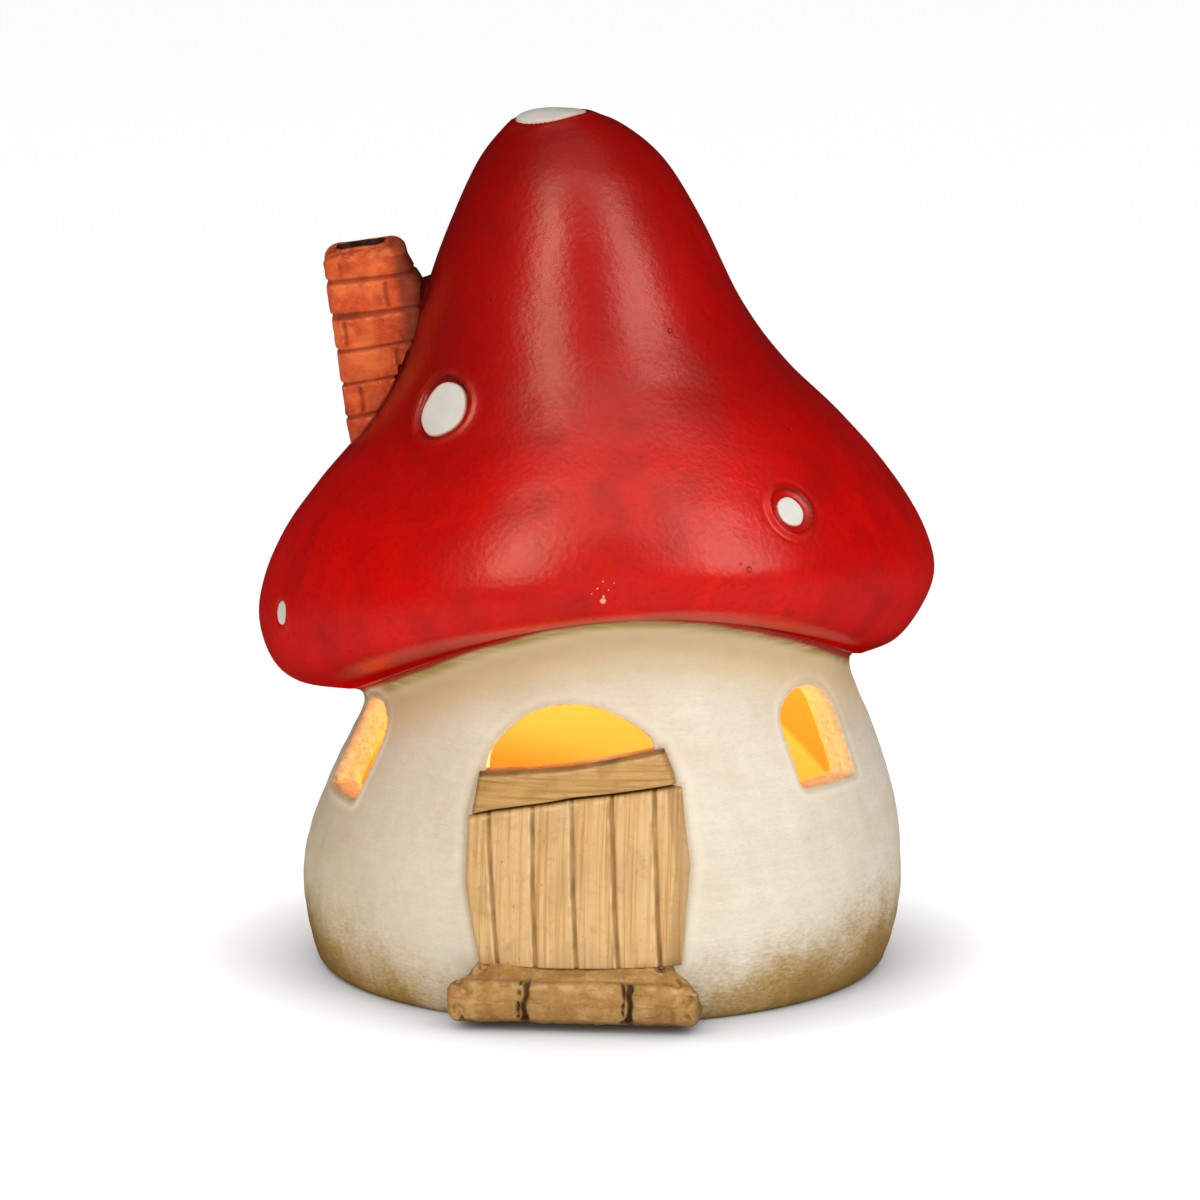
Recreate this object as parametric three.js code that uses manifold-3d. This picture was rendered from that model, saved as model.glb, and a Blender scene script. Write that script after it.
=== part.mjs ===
// Toadstool house ornament: a hollow fired-clay house under a lift-off cap, lit by a battery tealight.
// Millimetres, +Z up, the door faces -Y, the foot stands on z = 0.
import * as THREE from 'three';
import Module from 'manifold-3d';
import { mergeVertices } from 'three/addons/utils/BufferGeometryUtils.js';

const wasm = await Module();
wasm.setup();
const TURN = 2 * Math.PI;
const rad = THREE.MathUtils.degToRad;

// Shared sizes
const SEGMENTS = 48;
const GAP = 0.3;
const WALL = 8.5;
const CAP_WALL = 6.5;
const CAP_TURN = rad(6);

// Overall width over the brim, and the width that the guide tables below are drawn for
const WIDTH = 178.2;
const DRAWN_WIDTH = 178.2;
const SPREAD = WIDTH / DRAWN_WIDTH;

// House body: height, outer radius and sideways lean of the axis
const BODY_GUIDE = [
  [0, 74.6, -0.4],
  [3.4, 76.6, -0.4],
  [9, 78.2, -0.4],
  [20, 79.7, -0.15],
  [31, 79.05, 0.15],
  [41.8, 76.8, 1.2],
  [52.7, 73.2, 2.2],
  [63.6, 68.5, 2.9],
  [74.4, 63.9, 3],
  [85, 61.2, 3],
  [104, 59.4, 3],
  [130, 59.4, 3],
];
const BODY = BODY_GUIDE.map(([z, radius, lean]) => [z, radius * SPREAD, lean * SPREAD]);
const FLOOR_TOP = 9;
const FLOOR_FILLET = 5;
const FOOT_RADIUS = 66 * SPREAD;
const FOOT_HOLLOW = 1.6;
const FOOT_EDGE = 1.6;

// Seat between house and cap: height toward right, back, left and front
const SEAT = [81.8, 81, 72.3, 103.2];

// Locating lip under the cap
const LIP_CLEARANCE = 1.2;
const LIP_DEPTH = 5;
const LIP_WIDTH = 4.5;

// Cap: axis shift, then reach and height toward right, back, left and front, from crown to underside
const CROWN_TOP = 227.3;
const CAP_GUIDE = [
  { shift: -8.2, reach: [7, 7, 7, 7], height: [226.6, 226.6, 226.6, 226.6] },
  { shift: -8.2, reach: [14.6, 14.6, 14.6, 14.6], height: [222.6, 222.6, 222.6, 222.6] },
  { shift: -7.8, reach: [24.6, 24.6, 24.6, 24.6], height: [213, 213, 213, 213] },
  { shift: -6.9, reach: [33.4, 33, 33.4, 33], height: [197.2, 198, 197.2, 198] },
  { shift: -5.4, reach: [42.6, 41.5, 42.6, 41.5], height: [176.1, 178, 176.1, 178] },
  { shift: -3, reach: [52, 49, 49.8, 49], height: [160.2, 163, 160.2, 164] },
  { shift: -1, reach: [65.7, 59, 60.7, 58], height: [144.3, 148, 144.3, 151] },
  { shift: 0, reach: [78, 70, 74.6, 68.5], height: [128.2, 133, 128.2, 138] },
  { shift: 0, reach: [85.6, 79, 85.3, 77.5], height: [114.5, 117, 112.2, 125] },
  { shift: 0, reach: [87.7, 83.5, 90.6, 81.2], height: [104, 104, 95, 115.4] },
  { shift: 0, reach: [83.6, 81.6, 87.8, 79.6], height: [93.8, 91.5, 81.6, 108] },
  { shift: 0, reach: [76, 76, 80.5, 74], height: [86.4, 84.2, 74.6, 104.6] },
];
const CAP_STEPS = 2;
const UNDERSIDE_REACH = [65.4, 67, 70.5, 64];

// Spots: direction from the door and height on the cap, disc radius and groove radius
const SPOTS = [
  { name: 'spot_left_front', direction: -41, height: 153.5, disc: 7.4, groove: 9.2 },
  { name: 'spot_right_front', direction: 45.5, height: 130.5, disc: 4, groove: 6.6 },
  { name: 'spot_far_left', direction: -64, height: 98.6, disc: 3.1, groove: 4.3 },
  { name: 'spot_back_left', direction: -142, height: 132, disc: 6.2, groove: 7.8 },
  { name: 'spot_back', direction: 178, height: 168, disc: 7, groove: 8.8 },
  { name: 'spot_back_right', direction: 128, height: 118, disc: 5, groove: 6.8 },
  { name: 'spot_crown', direction: -74, height: 226.3, disc: 8.8, groove: 10.2 },
];
const SPOT_DEPTH = 1.8;
const SPOT_PROUD = 0.3;

// Chimney: brick stack leaning outward on the left of the cap
const CHIMNEY = {
  width: 22, depth: 20, top: 191.3, height: 66, x: -62.9, y: 3, lean: rad(8), round: 3,
  bevel: 2, bevelIn: 1.6, collar: 3.2,
};
const FLUE = { width: 11.4, depth: 9, deep: 18, x: -0.8, y: 1 };
const COURSE = 8.9;
const MORTAR = { wide: 1.1, deep: 0.9 };
const WEB = {
  outline: [[-58, 187], [-50.2, 184.6], [-48.4, 182.1], [-46.9, 181.2], [-42, 182.2], [-49, 160], [-58, 160]],
  y: [-3, 9],
};
const COURSE_JOINTS = [-6.7, 4.9, -7.9, 5.4, -6, 4];

// Doorway, seen from the front: x and z of each corner
const PLANKS = [
  [-23.8, 17.4], [28, 17.9], [29.9, 42], [26.8, 61.2], [-0.2, 58], [-21, 54], [-27.6, 52], [-27.6, 36],
];
const PLANK_LINES = [
  [[-22, 54], [-18.7, 17]],
  [[-10.6, 57], [-8.8, 17]],
  [[-0.4, 59], [1.7, 17]],
  [[9.7, 61], [12.3, 17]],
  [[20.3, 63], [22.8, 17]],
];
const BOARD = [
  [-26.6, 53], [-20.8, 54.8], [0, 58.8], [25.6, 61.8], [24.8, 64.5], [22, 70.2], [-1, 66.2], [-25, 63.2],
];
const ARCH = [
  [-23.4, 60], [19.4, 66], [19.3, 71.3], [17.8, 73.3], [12.7, 76.7], [5.7, 79.8], [-1.2, 80.6], [-8, 79.6],
  [-13.3, 77.3], [-18.4, 73], [-21.9, 69], [-23.5, 65.6],
];
const DOOR_PROUD = 2.2;
const DOOR_THICK = 8.5;
const BOARD_PROUD = 4.4;
const PLANK_LINE = { wide: 1, deep: 1.1 };

// Doorstep: cross-section toward the front, length along x, and the joints between its stones
const STEP_SECTION = [
  [-60, 2.2], [-80.5, 1.4], [-84.6, 3.6], [-86.3, 8], [-86, 11.6], [-84.2, 13.8], [-79, 16.9], [-60, 16.9],
];
const STEP_BEVEL = { along: 1.2, into: 1 };
const STEP_ENDS = [-31, 33];
const STEP_JOINTS = [-11.4, 15];
const STEP_JOINT = { wide: 1.2, deep: 1.6 };

// Windows: direction from the door, sill and head height, width
const WINDOWS = [
  { direction: 60, sill: 56.6, head: 80.6, width: 23.6 },
  { direction: -66.2, sill: 49.2, head: 72.9, width: 23.6 },
];

// Battery tealight
const LIGHT = { radius: 19, height: 18, wall: 1.2, deck: 15.5, hole: 7 };
const CHASSIS = { radius: 17.5, low: 0.8, plate: 2, cup: 12.3, cupWall: 1.5, top: 9, roof: 1.6, ledHole: 2.8 };
// Hollow flame, radius and height over the deck, from its tip down the outside and up the inside
const FLAME = [
  [0, 27], [0.9, 26], [2.6, 20], [5, 13], [6.6, 7.5], [6.9, 4], [6.4, 1.6], [8, 1], [8, 0], [5.6, 0], [5.6, 5],
  [5, 8.5], [3.4, 13.5], [1.2, 20], [0, 22],
];
const CELL = { radius: 10, low: 3.1, thick: 3.2 };
const COVER = { radius: 12, thick: 1.4, slot: [11, 1.6, 0.7] };
const LED = { radius: 2.5, flange: 2.95, low: 9.3, high: 17.9, leg: 0.5, legGap: 2.54, legLow: 7.2 };
const KNOB = {
  y: 15.5, length: 2.4, width: 2.1, head: 2.9, headLength: 4.4, low: 0.35, high: 4.4, travel: 2.4,
};

// Blend of four values given toward right, back, left and front
function around(values, angle) {
  const [right, back, left, front] = values;
  return (right + back + left + front) / 4
    + ((right - left) / 2) * Math.cos(angle)
    + ((back - front) / 2) * Math.sin(angle)
    + ((right - back + left - front) / 4) * Math.cos(2 * angle);
}

// Smooth value from a table whose first column is the position
function along(table, at, column) {
  let i = 0;
  while (i < table.length - 2 && table[i + 1][0] <= at) i += 1;
  const slope = (k) => {
    const low = table[Math.max(k - 1, 0)];
    const high = table[Math.min(k + 1, table.length - 1)];
    return (high[column] - low[column]) / (high[0] - low[0]);
  };
  const [a, b] = [table[i], table[i + 1]];
  const span = b[0] - a[0];
  const t = Math.min(Math.max((at - a[0]) / span, 0), 1);
  const rise = slope(i) * span * (t ** 3 - 2 * t ** 2 + t) + slope(i + 1) * span * (t ** 3 - t ** 2);
  return a[column] * (2 * t ** 3 - 3 * t ** 2 + 1) + b[column] * (3 * t ** 2 - 2 * t ** 3) + rise;
}

// Closed solid through rings of points, from the top pole down the outside; without poles the rings close on
// themselves
function loft(rings, topPole, bottomPole) {
  const count = rings[0].length;
  const points = rings.flat();
  const index = [];
  const at = (k, j) => (k % rings.length) * count + (j % count);
  const spans = topPole ? rings.length - 1 : rings.length;
  for (let k = 0; k < spans; k += 1) {
    for (let j = 0; j < count; j += 1) {
      index.push(at(k, j), at(k + 1, j), at(k + 1, j + 1));
      index.push(at(k, j), at(k + 1, j + 1), at(k, j + 1));
    }
  }
  if (topPole) {
    const [top, bottom] = [points.length, points.length + 1];
    points.push(topPole, bottomPole);
    for (let j = 0; j < count; j += 1) {
      index.push(top, at(0, j), at(0, j + 1));
      index.push(bottom, at(rings.length - 1, j + 1), at(rings.length - 1, j));
    }
  }
  return new wasm.Manifold(new wasm.Mesh({
    numProp: 3,
    vertProperties: new Float32Array(points.flatMap((p) => [p.x, p.y, p.z])),
    triVerts: new Uint32Array(index),
  }));
}

// One ring of points from a function of the angle
function ring(pointAt, segments = SEGMENTS) {
  return Array.from({ length: segments }, (_, j) => pointAt((TURN * j) / segments));
}

// Turned piece from radius and height pairs; pairs on the axis at both ends become poles
function turned(profile, segments = 32) {
  const onAxis = profile[0][0] === 0;
  const body = onAxis ? profile.slice(1, -1) : profile;
  const turn = ([r, z]) => ring((a) => new THREE.Vector3(r * Math.cos(a), r * Math.sin(a), z), segments);
  const rings = body.map(turn);
  const pole = ([, z]) => new THREE.Vector3(0, 0, z);
  return loft(rings, onAxis ? pole(profile[0]) : null, onAxis ? pole(profile.at(-1)) : null);
}

function toSolid(geometry) {
  const bare = geometry.clone();
  bare.deleteAttribute('normal');
  bare.deleteAttribute('uv');
  const merged = mergeVertices(bare, 1e-4);
  return new wasm.Manifold(new wasm.Mesh({
    numProp: 3,
    vertProperties: new Float32Array(merged.attributes.position.array),
    triVerts: new Uint32Array(merged.index.array),
  }));
}

function toGeometry(solid) {
  const mesh = solid.getMesh();
  const geometry = new THREE.BufferGeometry();
  geometry.setAttribute('position', new THREE.BufferAttribute(new Float32Array(mesh.vertProperties), 3));
  geometry.setIndex(new THREE.BufferAttribute(new Uint32Array(mesh.triVerts), 1));
  geometry.computeVertexNormals();
  return geometry;
}

function box(size, centre) {
  return toSolid(new THREE.BoxGeometry(...size).translate(...centre));
}

// Outline in x and z pushed along -Y, from one distance in front of the axis to a farther one
function frontPrism(outline, near, far) {
  const shape = new THREE.Shape(outline.map(([x, z]) => new THREE.Vector2(x, z)));
  const geometry = new THREE.ExtrudeGeometry(shape, { depth: far - near, bevelEnabled: false });
  geometry.rotateX(Math.PI / 2).translate(0, -near, 0);
  return toSolid(geometry);
}

// Outline moved outward by a distance
function grow(outline, distance) {
  const area = outline.reduce((sum, [x, y], i) => {
    const [u, v] = outline[(i + 1) % outline.length];
    return sum + x * v - u * y;
  }, 0);
  const side = Math.sign(area) * distance;
  return outline.map((point, i) => {
    const before = outline.at(i - 1);
    const after = outline[(i + 1) % outline.length];
    const edge = (a, b) => new THREE.Vector2(b[0] - a[0], b[1] - a[1]).normalize();
    const [into, out] = [edge(before, point), edge(point, after)];
    const miter = into.clone().add(out).normalize();
    const reach = side / miter.dot(into);
    return [point[0] + miter.y * reach, point[1] - miter.x * reach];
  });
}

// House body surfaces
const seatAt = (angle) => around(SEAT, angle - CAP_TURN);
const bodyPoint = (angle, z, inset = 0) => {
  const radius = along(BODY, z, 1) - inset;
  return new THREE.Vector3(along(BODY, z, 2) + radius * Math.cos(angle), radius * Math.sin(angle), z);
};

function bodyBlock(offset) {
  const heights = [108, 90, 80, 72, 64, 56, 48, 40, 32, 24, 16, 8, 2, -2];
  const rings = heights.map((z) => ring((a) => bodyPoint(a, z, -offset)));
  return loft(rings, new THREE.Vector3(0, 0, heights[0]), new THREE.Vector3(0, 0, heights.at(-1)));
}

function bodyShell() {
  const inner = [0, 0.15, 0.32, 0.5, 0.7, 1];
  const outer = [1, 0.91, 0.82, 0.73, 0.64, 0.55, 0.46, 0.37, 0.28, 0.19, 0.1, 0.04, 0];
  const floorEdge = FLOOR_TOP + FLOOR_FILLET;
  const between = (low, a, part) => low + (seatAt(a) - GAP - low) * part;
  const rings = [
    ring((a) => bodyPoint(a, FLOOR_TOP, WALL + FLOOR_FILLET * 1.2)),
    ring((a) => bodyPoint(a, FLOOR_TOP + FLOOR_FILLET * 0.3, WALL + FLOOR_FILLET * 0.35)),
    ...inner.map((part) => ring((a) => bodyPoint(a, between(floorEdge, a, part), WALL))),
    ...outer.map((part) => ring((a) => bodyPoint(a, between(FOOT_EDGE, a, part)))),
    ring((a) => bodyPoint(a, 0, FOOT_EDGE * 0.3)),
    ring((a) => new THREE.Vector3(FOOT_RADIUS * Math.cos(a), FOOT_RADIUS * Math.sin(a), 0)),
    ring((a) => {
      const radius = FOOT_RADIUS - FOOT_HOLLOW;
      return new THREE.Vector3(radius * Math.cos(a), radius * Math.sin(a), FOOT_HOLLOW);
    }),
  ];
  return loft(rings, new THREE.Vector3(0, 0, FLOOR_TOP), new THREE.Vector3(0, 0, FOOT_HOLLOW));
}

function windowPrism({ direction, sill, head, width }) {
  const half = width / 2;
  const spring = head - half * 0.82;
  const shape = new THREE.Shape();
  shape.moveTo(-half, sill);
  shape.lineTo(half, sill);
  shape.lineTo(half, spring);
  shape.bezierCurveTo(half, spring + half * 0.5, half * 0.55, head, 0, head);
  shape.bezierCurveTo(-half * 0.55, head, -half, spring + half * 0.5, -half, spring);
  const geometry = new THREE.ExtrudeGeometry(shape, { depth: 70, bevelEnabled: false, curveSegments: 6 });
  geometry.rotateX(Math.PI / 2).translate(0, -35, 0).rotateZ(rad(direction));
  return toSolid(geometry);
}

// A groove line across the front, cut to a depth below a surface
function planeLine([[x1, z1], [x2, z2]], wide) {
  const run = new THREE.Vector2(x2 - x1, z2 - z1).normalize();
  const side = [-run.y * wide * 0.5, run.x * wide * 0.5];
  return [
    [x1 + side[0], z1 + side[1]], [x1 - side[0], z1 - side[1]],
    [x2 - side[0], z2 - side[1]], [x2 + side[0], z2 + side[1]],
  ];
}

function doorPlanks() {
  const slab = bodyBlock(DOOR_PROUD).subtract(bodyBlock(DOOR_PROUD - DOOR_THICK));
  const bed = bodyBlock(DOOR_PROUD - PLANK_LINE.deep);
  const lines = PLANK_LINES.map((line) => frontPrism(planeLine(line, PLANK_LINE.wide), 40, 100).subtract(bed));
  return slab.intersect(frontPrism(PLANKS, 40, 100)).subtract(wasm.Manifold.union(lines));
}

function crossBoard() {
  const slab = bodyBlock(BOARD_PROUD).subtract(bodyBlock(BOARD_PROUD - DOOR_THICK));
  return slab.intersect(frontPrism(BOARD, 40, 100));
}

function doorstep() {
  const length = STEP_ENDS[1] - STEP_ENDS[0];
  const shape = new THREE.Shape(STEP_SECTION.map(([y, z]) => new THREE.Vector2(y, z)));
  const geometry = new THREE.ExtrudeGeometry(shape, {
    depth: length - 2 * STEP_BEVEL.along, bevelThickness: STEP_BEVEL.along, bevelSize: STEP_BEVEL.into,
    bevelOffset: -STEP_BEVEL.into, bevelSegments: 2,
  });
  const swing = new THREE.Matrix4().makeBasis(
    new THREE.Vector3(0, 1, 0), new THREE.Vector3(0, 0, 1), new THREE.Vector3(1, 0, 0));
  geometry.applyMatrix4(swing).translate(STEP_ENDS[0] + STEP_BEVEL.along, 0, 0);
  const [front, top] = [Math.min(...STEP_SECTION.map((p) => p[0])), Math.max(...STEP_SECTION.map((p) => p[1]))];
  const cuts = STEP_JOINTS.flatMap((x) => [
    box([STEP_JOINT.wide, 2 * STEP_JOINT.deep, 60], [x, front, 0]),
    box([STEP_JOINT.wide, 60, 2 * STEP_JOINT.deep], [x, front, top]),
  ]);
  const step = toSolid(geometry).subtract(wasm.Manifold.union(cuts));
  return step.translate([0, front * (SPREAD - 1), 0]).subtract(bodyBlock(GAP));
}

// Cap surface: smooth rings through the guide rows, with outward normals
function capRings() {
  const rows = CAP_GUIDE.map(({ shift, reach, height }) => {
    const plan = [shift, ...reach].map((value) => value * SPREAD);
    return [...plan, ...height];
  });
  const blend = (before, a, b, after, t) => a.map((value, i) => {
    const [m0, m1] = [(b[i] - before[i]) / 2, (after[i] - a[i]) / 2];
    return value * (2 * t ** 3 - 3 * t ** 2 + 1) + b[i] * (3 * t ** 2 - 2 * t ** 3)
      + m0 * (t ** 3 - 2 * t ** 2 + t) + m1 * (t ** 3 - t ** 2);
  });
  const fine = [];
  rows.forEach((row, i) => {
    fine.push(row);
    if (i === rows.length - 1) return;
    const [before, after] = [rows[Math.max(i - 1, 0)], rows[Math.min(i + 2, rows.length - 1)]];
    for (let s = 1; s < CAP_STEPS; s += 1) fine.push(blend(before, row, rows[i + 1], after, s / CAP_STEPS));
  });
  return fine.map(([shift, ...rest]) => ring((a) => {
    const reach = around(rest.slice(0, 4), a - CAP_TURN);
    const z = around(rest.slice(4), a - CAP_TURN);
    return new THREE.Vector3(
      shift * Math.cos(CAP_TURN) + reach * Math.cos(a), shift * Math.sin(CAP_TURN) + reach * Math.sin(a), z);
  }));
}

const capSurface = capRings();
const crownShift = CAP_GUIDE[0].shift * SPREAD;
const crown = new THREE.Vector3(crownShift * Math.cos(CAP_TURN), crownShift * Math.sin(CAP_TURN), CROWN_TOP);
const undersideRing = ring((a) => {
  const z = seatAt(a);
  const reach = around(UNDERSIDE_REACH, a - CAP_TURN) * SPREAD;
  return new THREE.Vector3(along(BODY, z, 2) + reach * Math.cos(a), reach * Math.sin(a), z);
});
const capNormals = capSurface.map((points, k) => points.map((point, j) => {
  const up = k === 0 ? crown : capSurface[k - 1][j];
  const down = k === capSurface.length - 1 ? undersideRing[j] : capSurface[k + 1][j];
  const left = points.at(j - 1);
  const right = points[(j + 1) % points.length];
  return down.clone().sub(up).cross(right.clone().sub(left)).normalize();
}));

// Cap surface moved outward by a distance
function capOffset(distance) {
  const move = (point, k, j) => point.clone().addScaledVector(capNormals[k][j], distance);
  return capSurface.map((points, k) => points.map((point, j) => move(point, k, j)));
}

function capBlock(distance) {
  const top = crown.clone().add(new THREE.Vector3(0, 0, distance));
  return loft(capOffset(distance), top, new THREE.Vector3(0, 0, 60));
}

function lipRing(inset, rise) {
  return ring((a) => {
    const point = bodyPoint(a, seatAt(a), WALL + LIP_CLEARANCE + inset);
    point.z += rise;
    return point;
  });
}

function capShell() {
  const inside = capOffset(-CAP_WALL).filter((_, k) => k % CAP_STEPS === 0).reverse();
  const top = crown.clone().add(new THREE.Vector3(0, 0, -CAP_WALL));
  const insideFloor = undersideRing.map((p) => p.clone().add(new THREE.Vector3(0, 0, CAP_WALL)));
  const rings = [
    ...capSurface,
    undersideRing,
    ring((a) => bodyPoint(a, seatAt(a))),
    lipRing(0, 0),
    lipRing(0, -LIP_DEPTH),
    lipRing(LIP_WIDTH, -LIP_DEPTH),
    lipRing(LIP_WIDTH, CAP_WALL),
    insideFloor,
    ...inside,
  ];
  return loft(rings, crown, top);
}

// Point on the cap surface toward a direction from the door at a height, with its normal
function capSpotFrame(direction, height) {
  const angle = rad(direction - 90) + 2 * TURN;
  const j = Math.round((angle / TURN) * SEGMENTS) % SEGMENTS;
  let k = 0;
  while (k < capSurface.length - 2 && capSurface[k + 1][j].z > height) k += 1;
  const [a, b] = [capSurface[k][j], capSurface[k + 1][j]];
  const t = (a.z - height) / (a.z - b.z);
  const normal = capNormals[k][j].clone().lerp(capNormals[k + 1][j], t).normalize();
  return { point: a.clone().lerp(b, t), normal };
}

function pegAt({ point, normal }, radius) {
  const geometry = new THREE.CylinderGeometry(radius, radius, 16, 20);
  const lay = new THREE.Quaternion().setFromUnitVectors(new THREE.Vector3(0, 1, 0), normal);
  geometry.applyQuaternion(lay).translate(point.x, point.y, point.z);
  return toSolid(geometry);
}

// Chimney pieces in their own upright frame, then leaned and placed
function leaned(solid) {
  const geometry = toGeometry(solid);
  geometry.rotateY(-CHIMNEY.lean).translate(CHIMNEY.x * SPREAD, CHIMNEY.y, CHIMNEY.top).rotateZ(CAP_TURN);
  return toSolid(geometry);
}

function chimneyBlock(extra) {
  const { width, depth, height, bevel, bevelIn } = CHIMNEY;
  const round = CHIMNEY.round + extra;
  const shape = new THREE.Shape();
  const [hw, hd] = [width / 2 + extra - round, depth / 2 + extra - round];
  [[hw, -hd, -90], [hw, hd, 0], [-hw, hd, 90], [-hw, -hd, 180]].forEach(([x, y, start]) => {
    shape.absarc(x, y, round, rad(start), rad(start + 90), false);
  });
  const block = toSolid(new THREE.ExtrudeGeometry(shape, {
    depth: height - bevel, bevelThickness: bevel, bevelSize: bevelIn, bevelOffset: -bevelIn, bevelSegments: 2,
    curveSegments: 2,
  }).translate(0, 0, extra - height));
  return leaned(block);
}

function chimneyStack() {
  const { width, depth, collar } = CHIMNEY;
  const flue = box([FLUE.width, FLUE.depth, 2 * FLUE.deep], [FLUE.x, FLUE.y, 0]);
  const core = [width - 2 * MORTAR.deep, depth - 2 * MORTAR.deep];
  const course = (z) => box([2 * width, 2 * depth, MORTAR.wide], [0, 0, z])
    .subtract(box([...core, 3 * MORTAR.wide], [0, 0, z]));
  const joints = COURSE_JOINTS.flatMap((joint, i) => {
    const middle = -COURSE * (i + 0.5);
    const upright = [-1, 1].flatMap((side) => [
      box([MORTAR.wide, 2 * MORTAR.deep, COURSE], [joint, (side * depth) / 2, middle]),
      box([2 * MORTAR.deep, MORTAR.wide, COURSE], [(side * width) / 2, -joint, middle]),
    ]);
    return [course(-COURSE * (i + 1)), ...upright];
  });
  const luted = capBlock(collar).translate([-MORTAR.deep, 0, 0]);
  const mortar = leaned(wasm.Manifold.union(joints)).subtract(luted);
  return chimneyBlock(0).subtract(leaned(flue)).subtract(mortar).subtract(capBlock(GAP));
}

// Web of clay that joins the chimney's inner side to the crown, cut clear of the chimney
function chimneyWeb() {
  const outline = WEB.outline.map(([x, z]) => [x * SPREAD, z]);
  const web = frontPrism(outline, -WEB.y[1], -WEB.y[0]);
  const turned = toSolid(toGeometry(web).rotateZ(CAP_TURN));
  return turned.subtract(chimneyBlock(GAP));
}

// Battery tealight pieces, standing on z = 0
function lightCase() {
  const { radius, height, wall, deck, hole } = LIGHT;
  return turned([
    [hole, deck], [radius - wall - 1, deck - 0.6], [radius - wall - 0.3, deck], [radius - wall - 0.3, height],
    [radius - 0.3, height], [radius, height - 2], [radius, 0], [radius - wall, 0],
    [radius - wall, deck - wall - 0.6], [hole, deck - wall],
  ]);
}

function lightChassis() {
  const { radius, low, plate, cup, cupWall, top, roof, ledHole } = CHASSIS;
  const body = turned([
    [ledHole, top], [cup + cupWall, top], [cup + cupWall, low + plate], [radius, low + plate], [radius, low],
    [cup, low], [cup, top - roof], [ledHole, top - roof],
  ]);
  const slot = [KNOB.length + KNOB.travel + 2 * GAP, KNOB.width + 2 * GAP, 8];
  return body.subtract(box(slot, [0, KNOB.y, low + plate / 2]));
}

function flame() {
  return turned(FLAME.map(([r, z]) => [r, LIGHT.deck + GAP + z]), 20);
}

function ledBulb() {
  const { radius, flange, low, high, leg, legGap, legLow } = LED;
  const bulb = turned([
    [0, high], [radius * 0.55, high - 0.4], [radius * 0.9, high - 1.4], [radius, high - radius],
    [radius, low + 1], [flange, low + 1], [flange, low], [0, low],
  ], 14);
  const rise = low - legLow + leg;
  const legs = [-1, 1].map((side) => box([leg, leg, rise], [(side * legGap) / 2, 0, legLow + rise / 2]));
  return bulb.add(wasm.Manifold.union(legs));
}

function coinCell() {
  const { radius, low, thick } = CELL;
  return turned([
    [0, low + thick], [radius - 1.6, low + thick], [radius - 1.5, low + thick - 0.35],
    [radius - 0.3, low + thick - 0.35],
    [radius, low + thick - 0.6], [radius, low + 0.3], [radius - 0.3, low], [0, low],
  ], 28);
}

function positiveContact() {
  const low = CHASSIS.low + COVER.thick + GAP;
  const strap = box([CELL.radius + 1.4, 3.2, 0.3], [(CELL.radius + 1.4) / 2, 0, low + 0.15]);
  const tail = box([0.4, 3.2, 4], [CELL.radius + 1.2, 0, low + 2]);
  return strap.add(tail);
}

function negativeContact() {
  const low = CELL.low + CELL.thick + GAP;
  return box([9, 3, 0.3], [-2, 0, low + 0.15]).add(box([1.2, 6, 0.3], [-6, 0, low + 0.15]));
}

function batteryCover() {
  const { radius, thick, slot } = COVER;
  const { low } = CHASSIS;
  const disc = turned([[0, low + thick], [radius, low + thick], [radius, low], [0, low]]);
  return disc.subtract(box([slot[0], slot[1], slot[2] * 2], [0, 0, low]));
}

function switchKnob() {
  const { y, length, width, head, headLength, low, high, travel } = KNOB;
  const plateTop = CHASSIS.low + CHASSIS.plate + GAP;
  const x = -travel / 2;
  const pin = box([length, width, plateTop - low + 0.4], [x, y, (plateTop + low + 0.4) / 2]);
  return pin.add(box([headLength, head, high - plateTop], [x, y, (high + plateTop) / 2]));
}

// Assembly
const toadstool = new THREE.Group();
toadstool.name = 'toadstool_house_ornament';

function place(name, solid, colour, roughness, metalness = 0) {
  const material = new THREE.MeshStandardMaterial({ color: colour, roughness, metalness });
  const mesh = new THREE.Mesh(toGeometry(solid), material);
  mesh.name = name;
  toadstool.add(mesh);
  return mesh;
}

const openings = WINDOWS.map(windowPrism);
[grow(PLANKS, GAP), grow(BOARD, GAP), ARCH].forEach((outline) => openings.push(frontPrism(outline, 40, 100)));
place('house_wall', bodyShell().subtract(wasm.Manifold.union(openings)), 0xe2d8c4, 0.7);
place('door_planks', doorPlanks(), 0xdcae74, 0.75);
place('cross_board', crossBoard(), 0xc39b5e, 0.75);
place('doorstep', doorstep(), 0xa5703f, 0.8);

const capOver = capBlock(SPOT_PROUD);
const capUnder = capBlock(-SPOT_DEPTH);
const capBed = capBlock(-SPOT_DEPTH - GAP);
const spots = SPOTS.map((spot) => ({ ...spot, frame: capSpotFrame(spot.direction, spot.height) }));
const recesses = spots.map(({ frame, groove }) => pegAt(frame, groove).subtract(capBed));
place('cap_shell', capShell().add(chimneyWeb()).subtract(wasm.Manifold.union(recesses)), 0xc01a10, 0.35);
place('chimney', chimneyStack(), 0xc4622f, 0.8);
spots.forEach(({ name, frame, disc }) => {
  place(name, pegAt(frame, disc).intersect(capOver).subtract(capUnder), 0xe6e4dc, 0.5);
});

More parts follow.
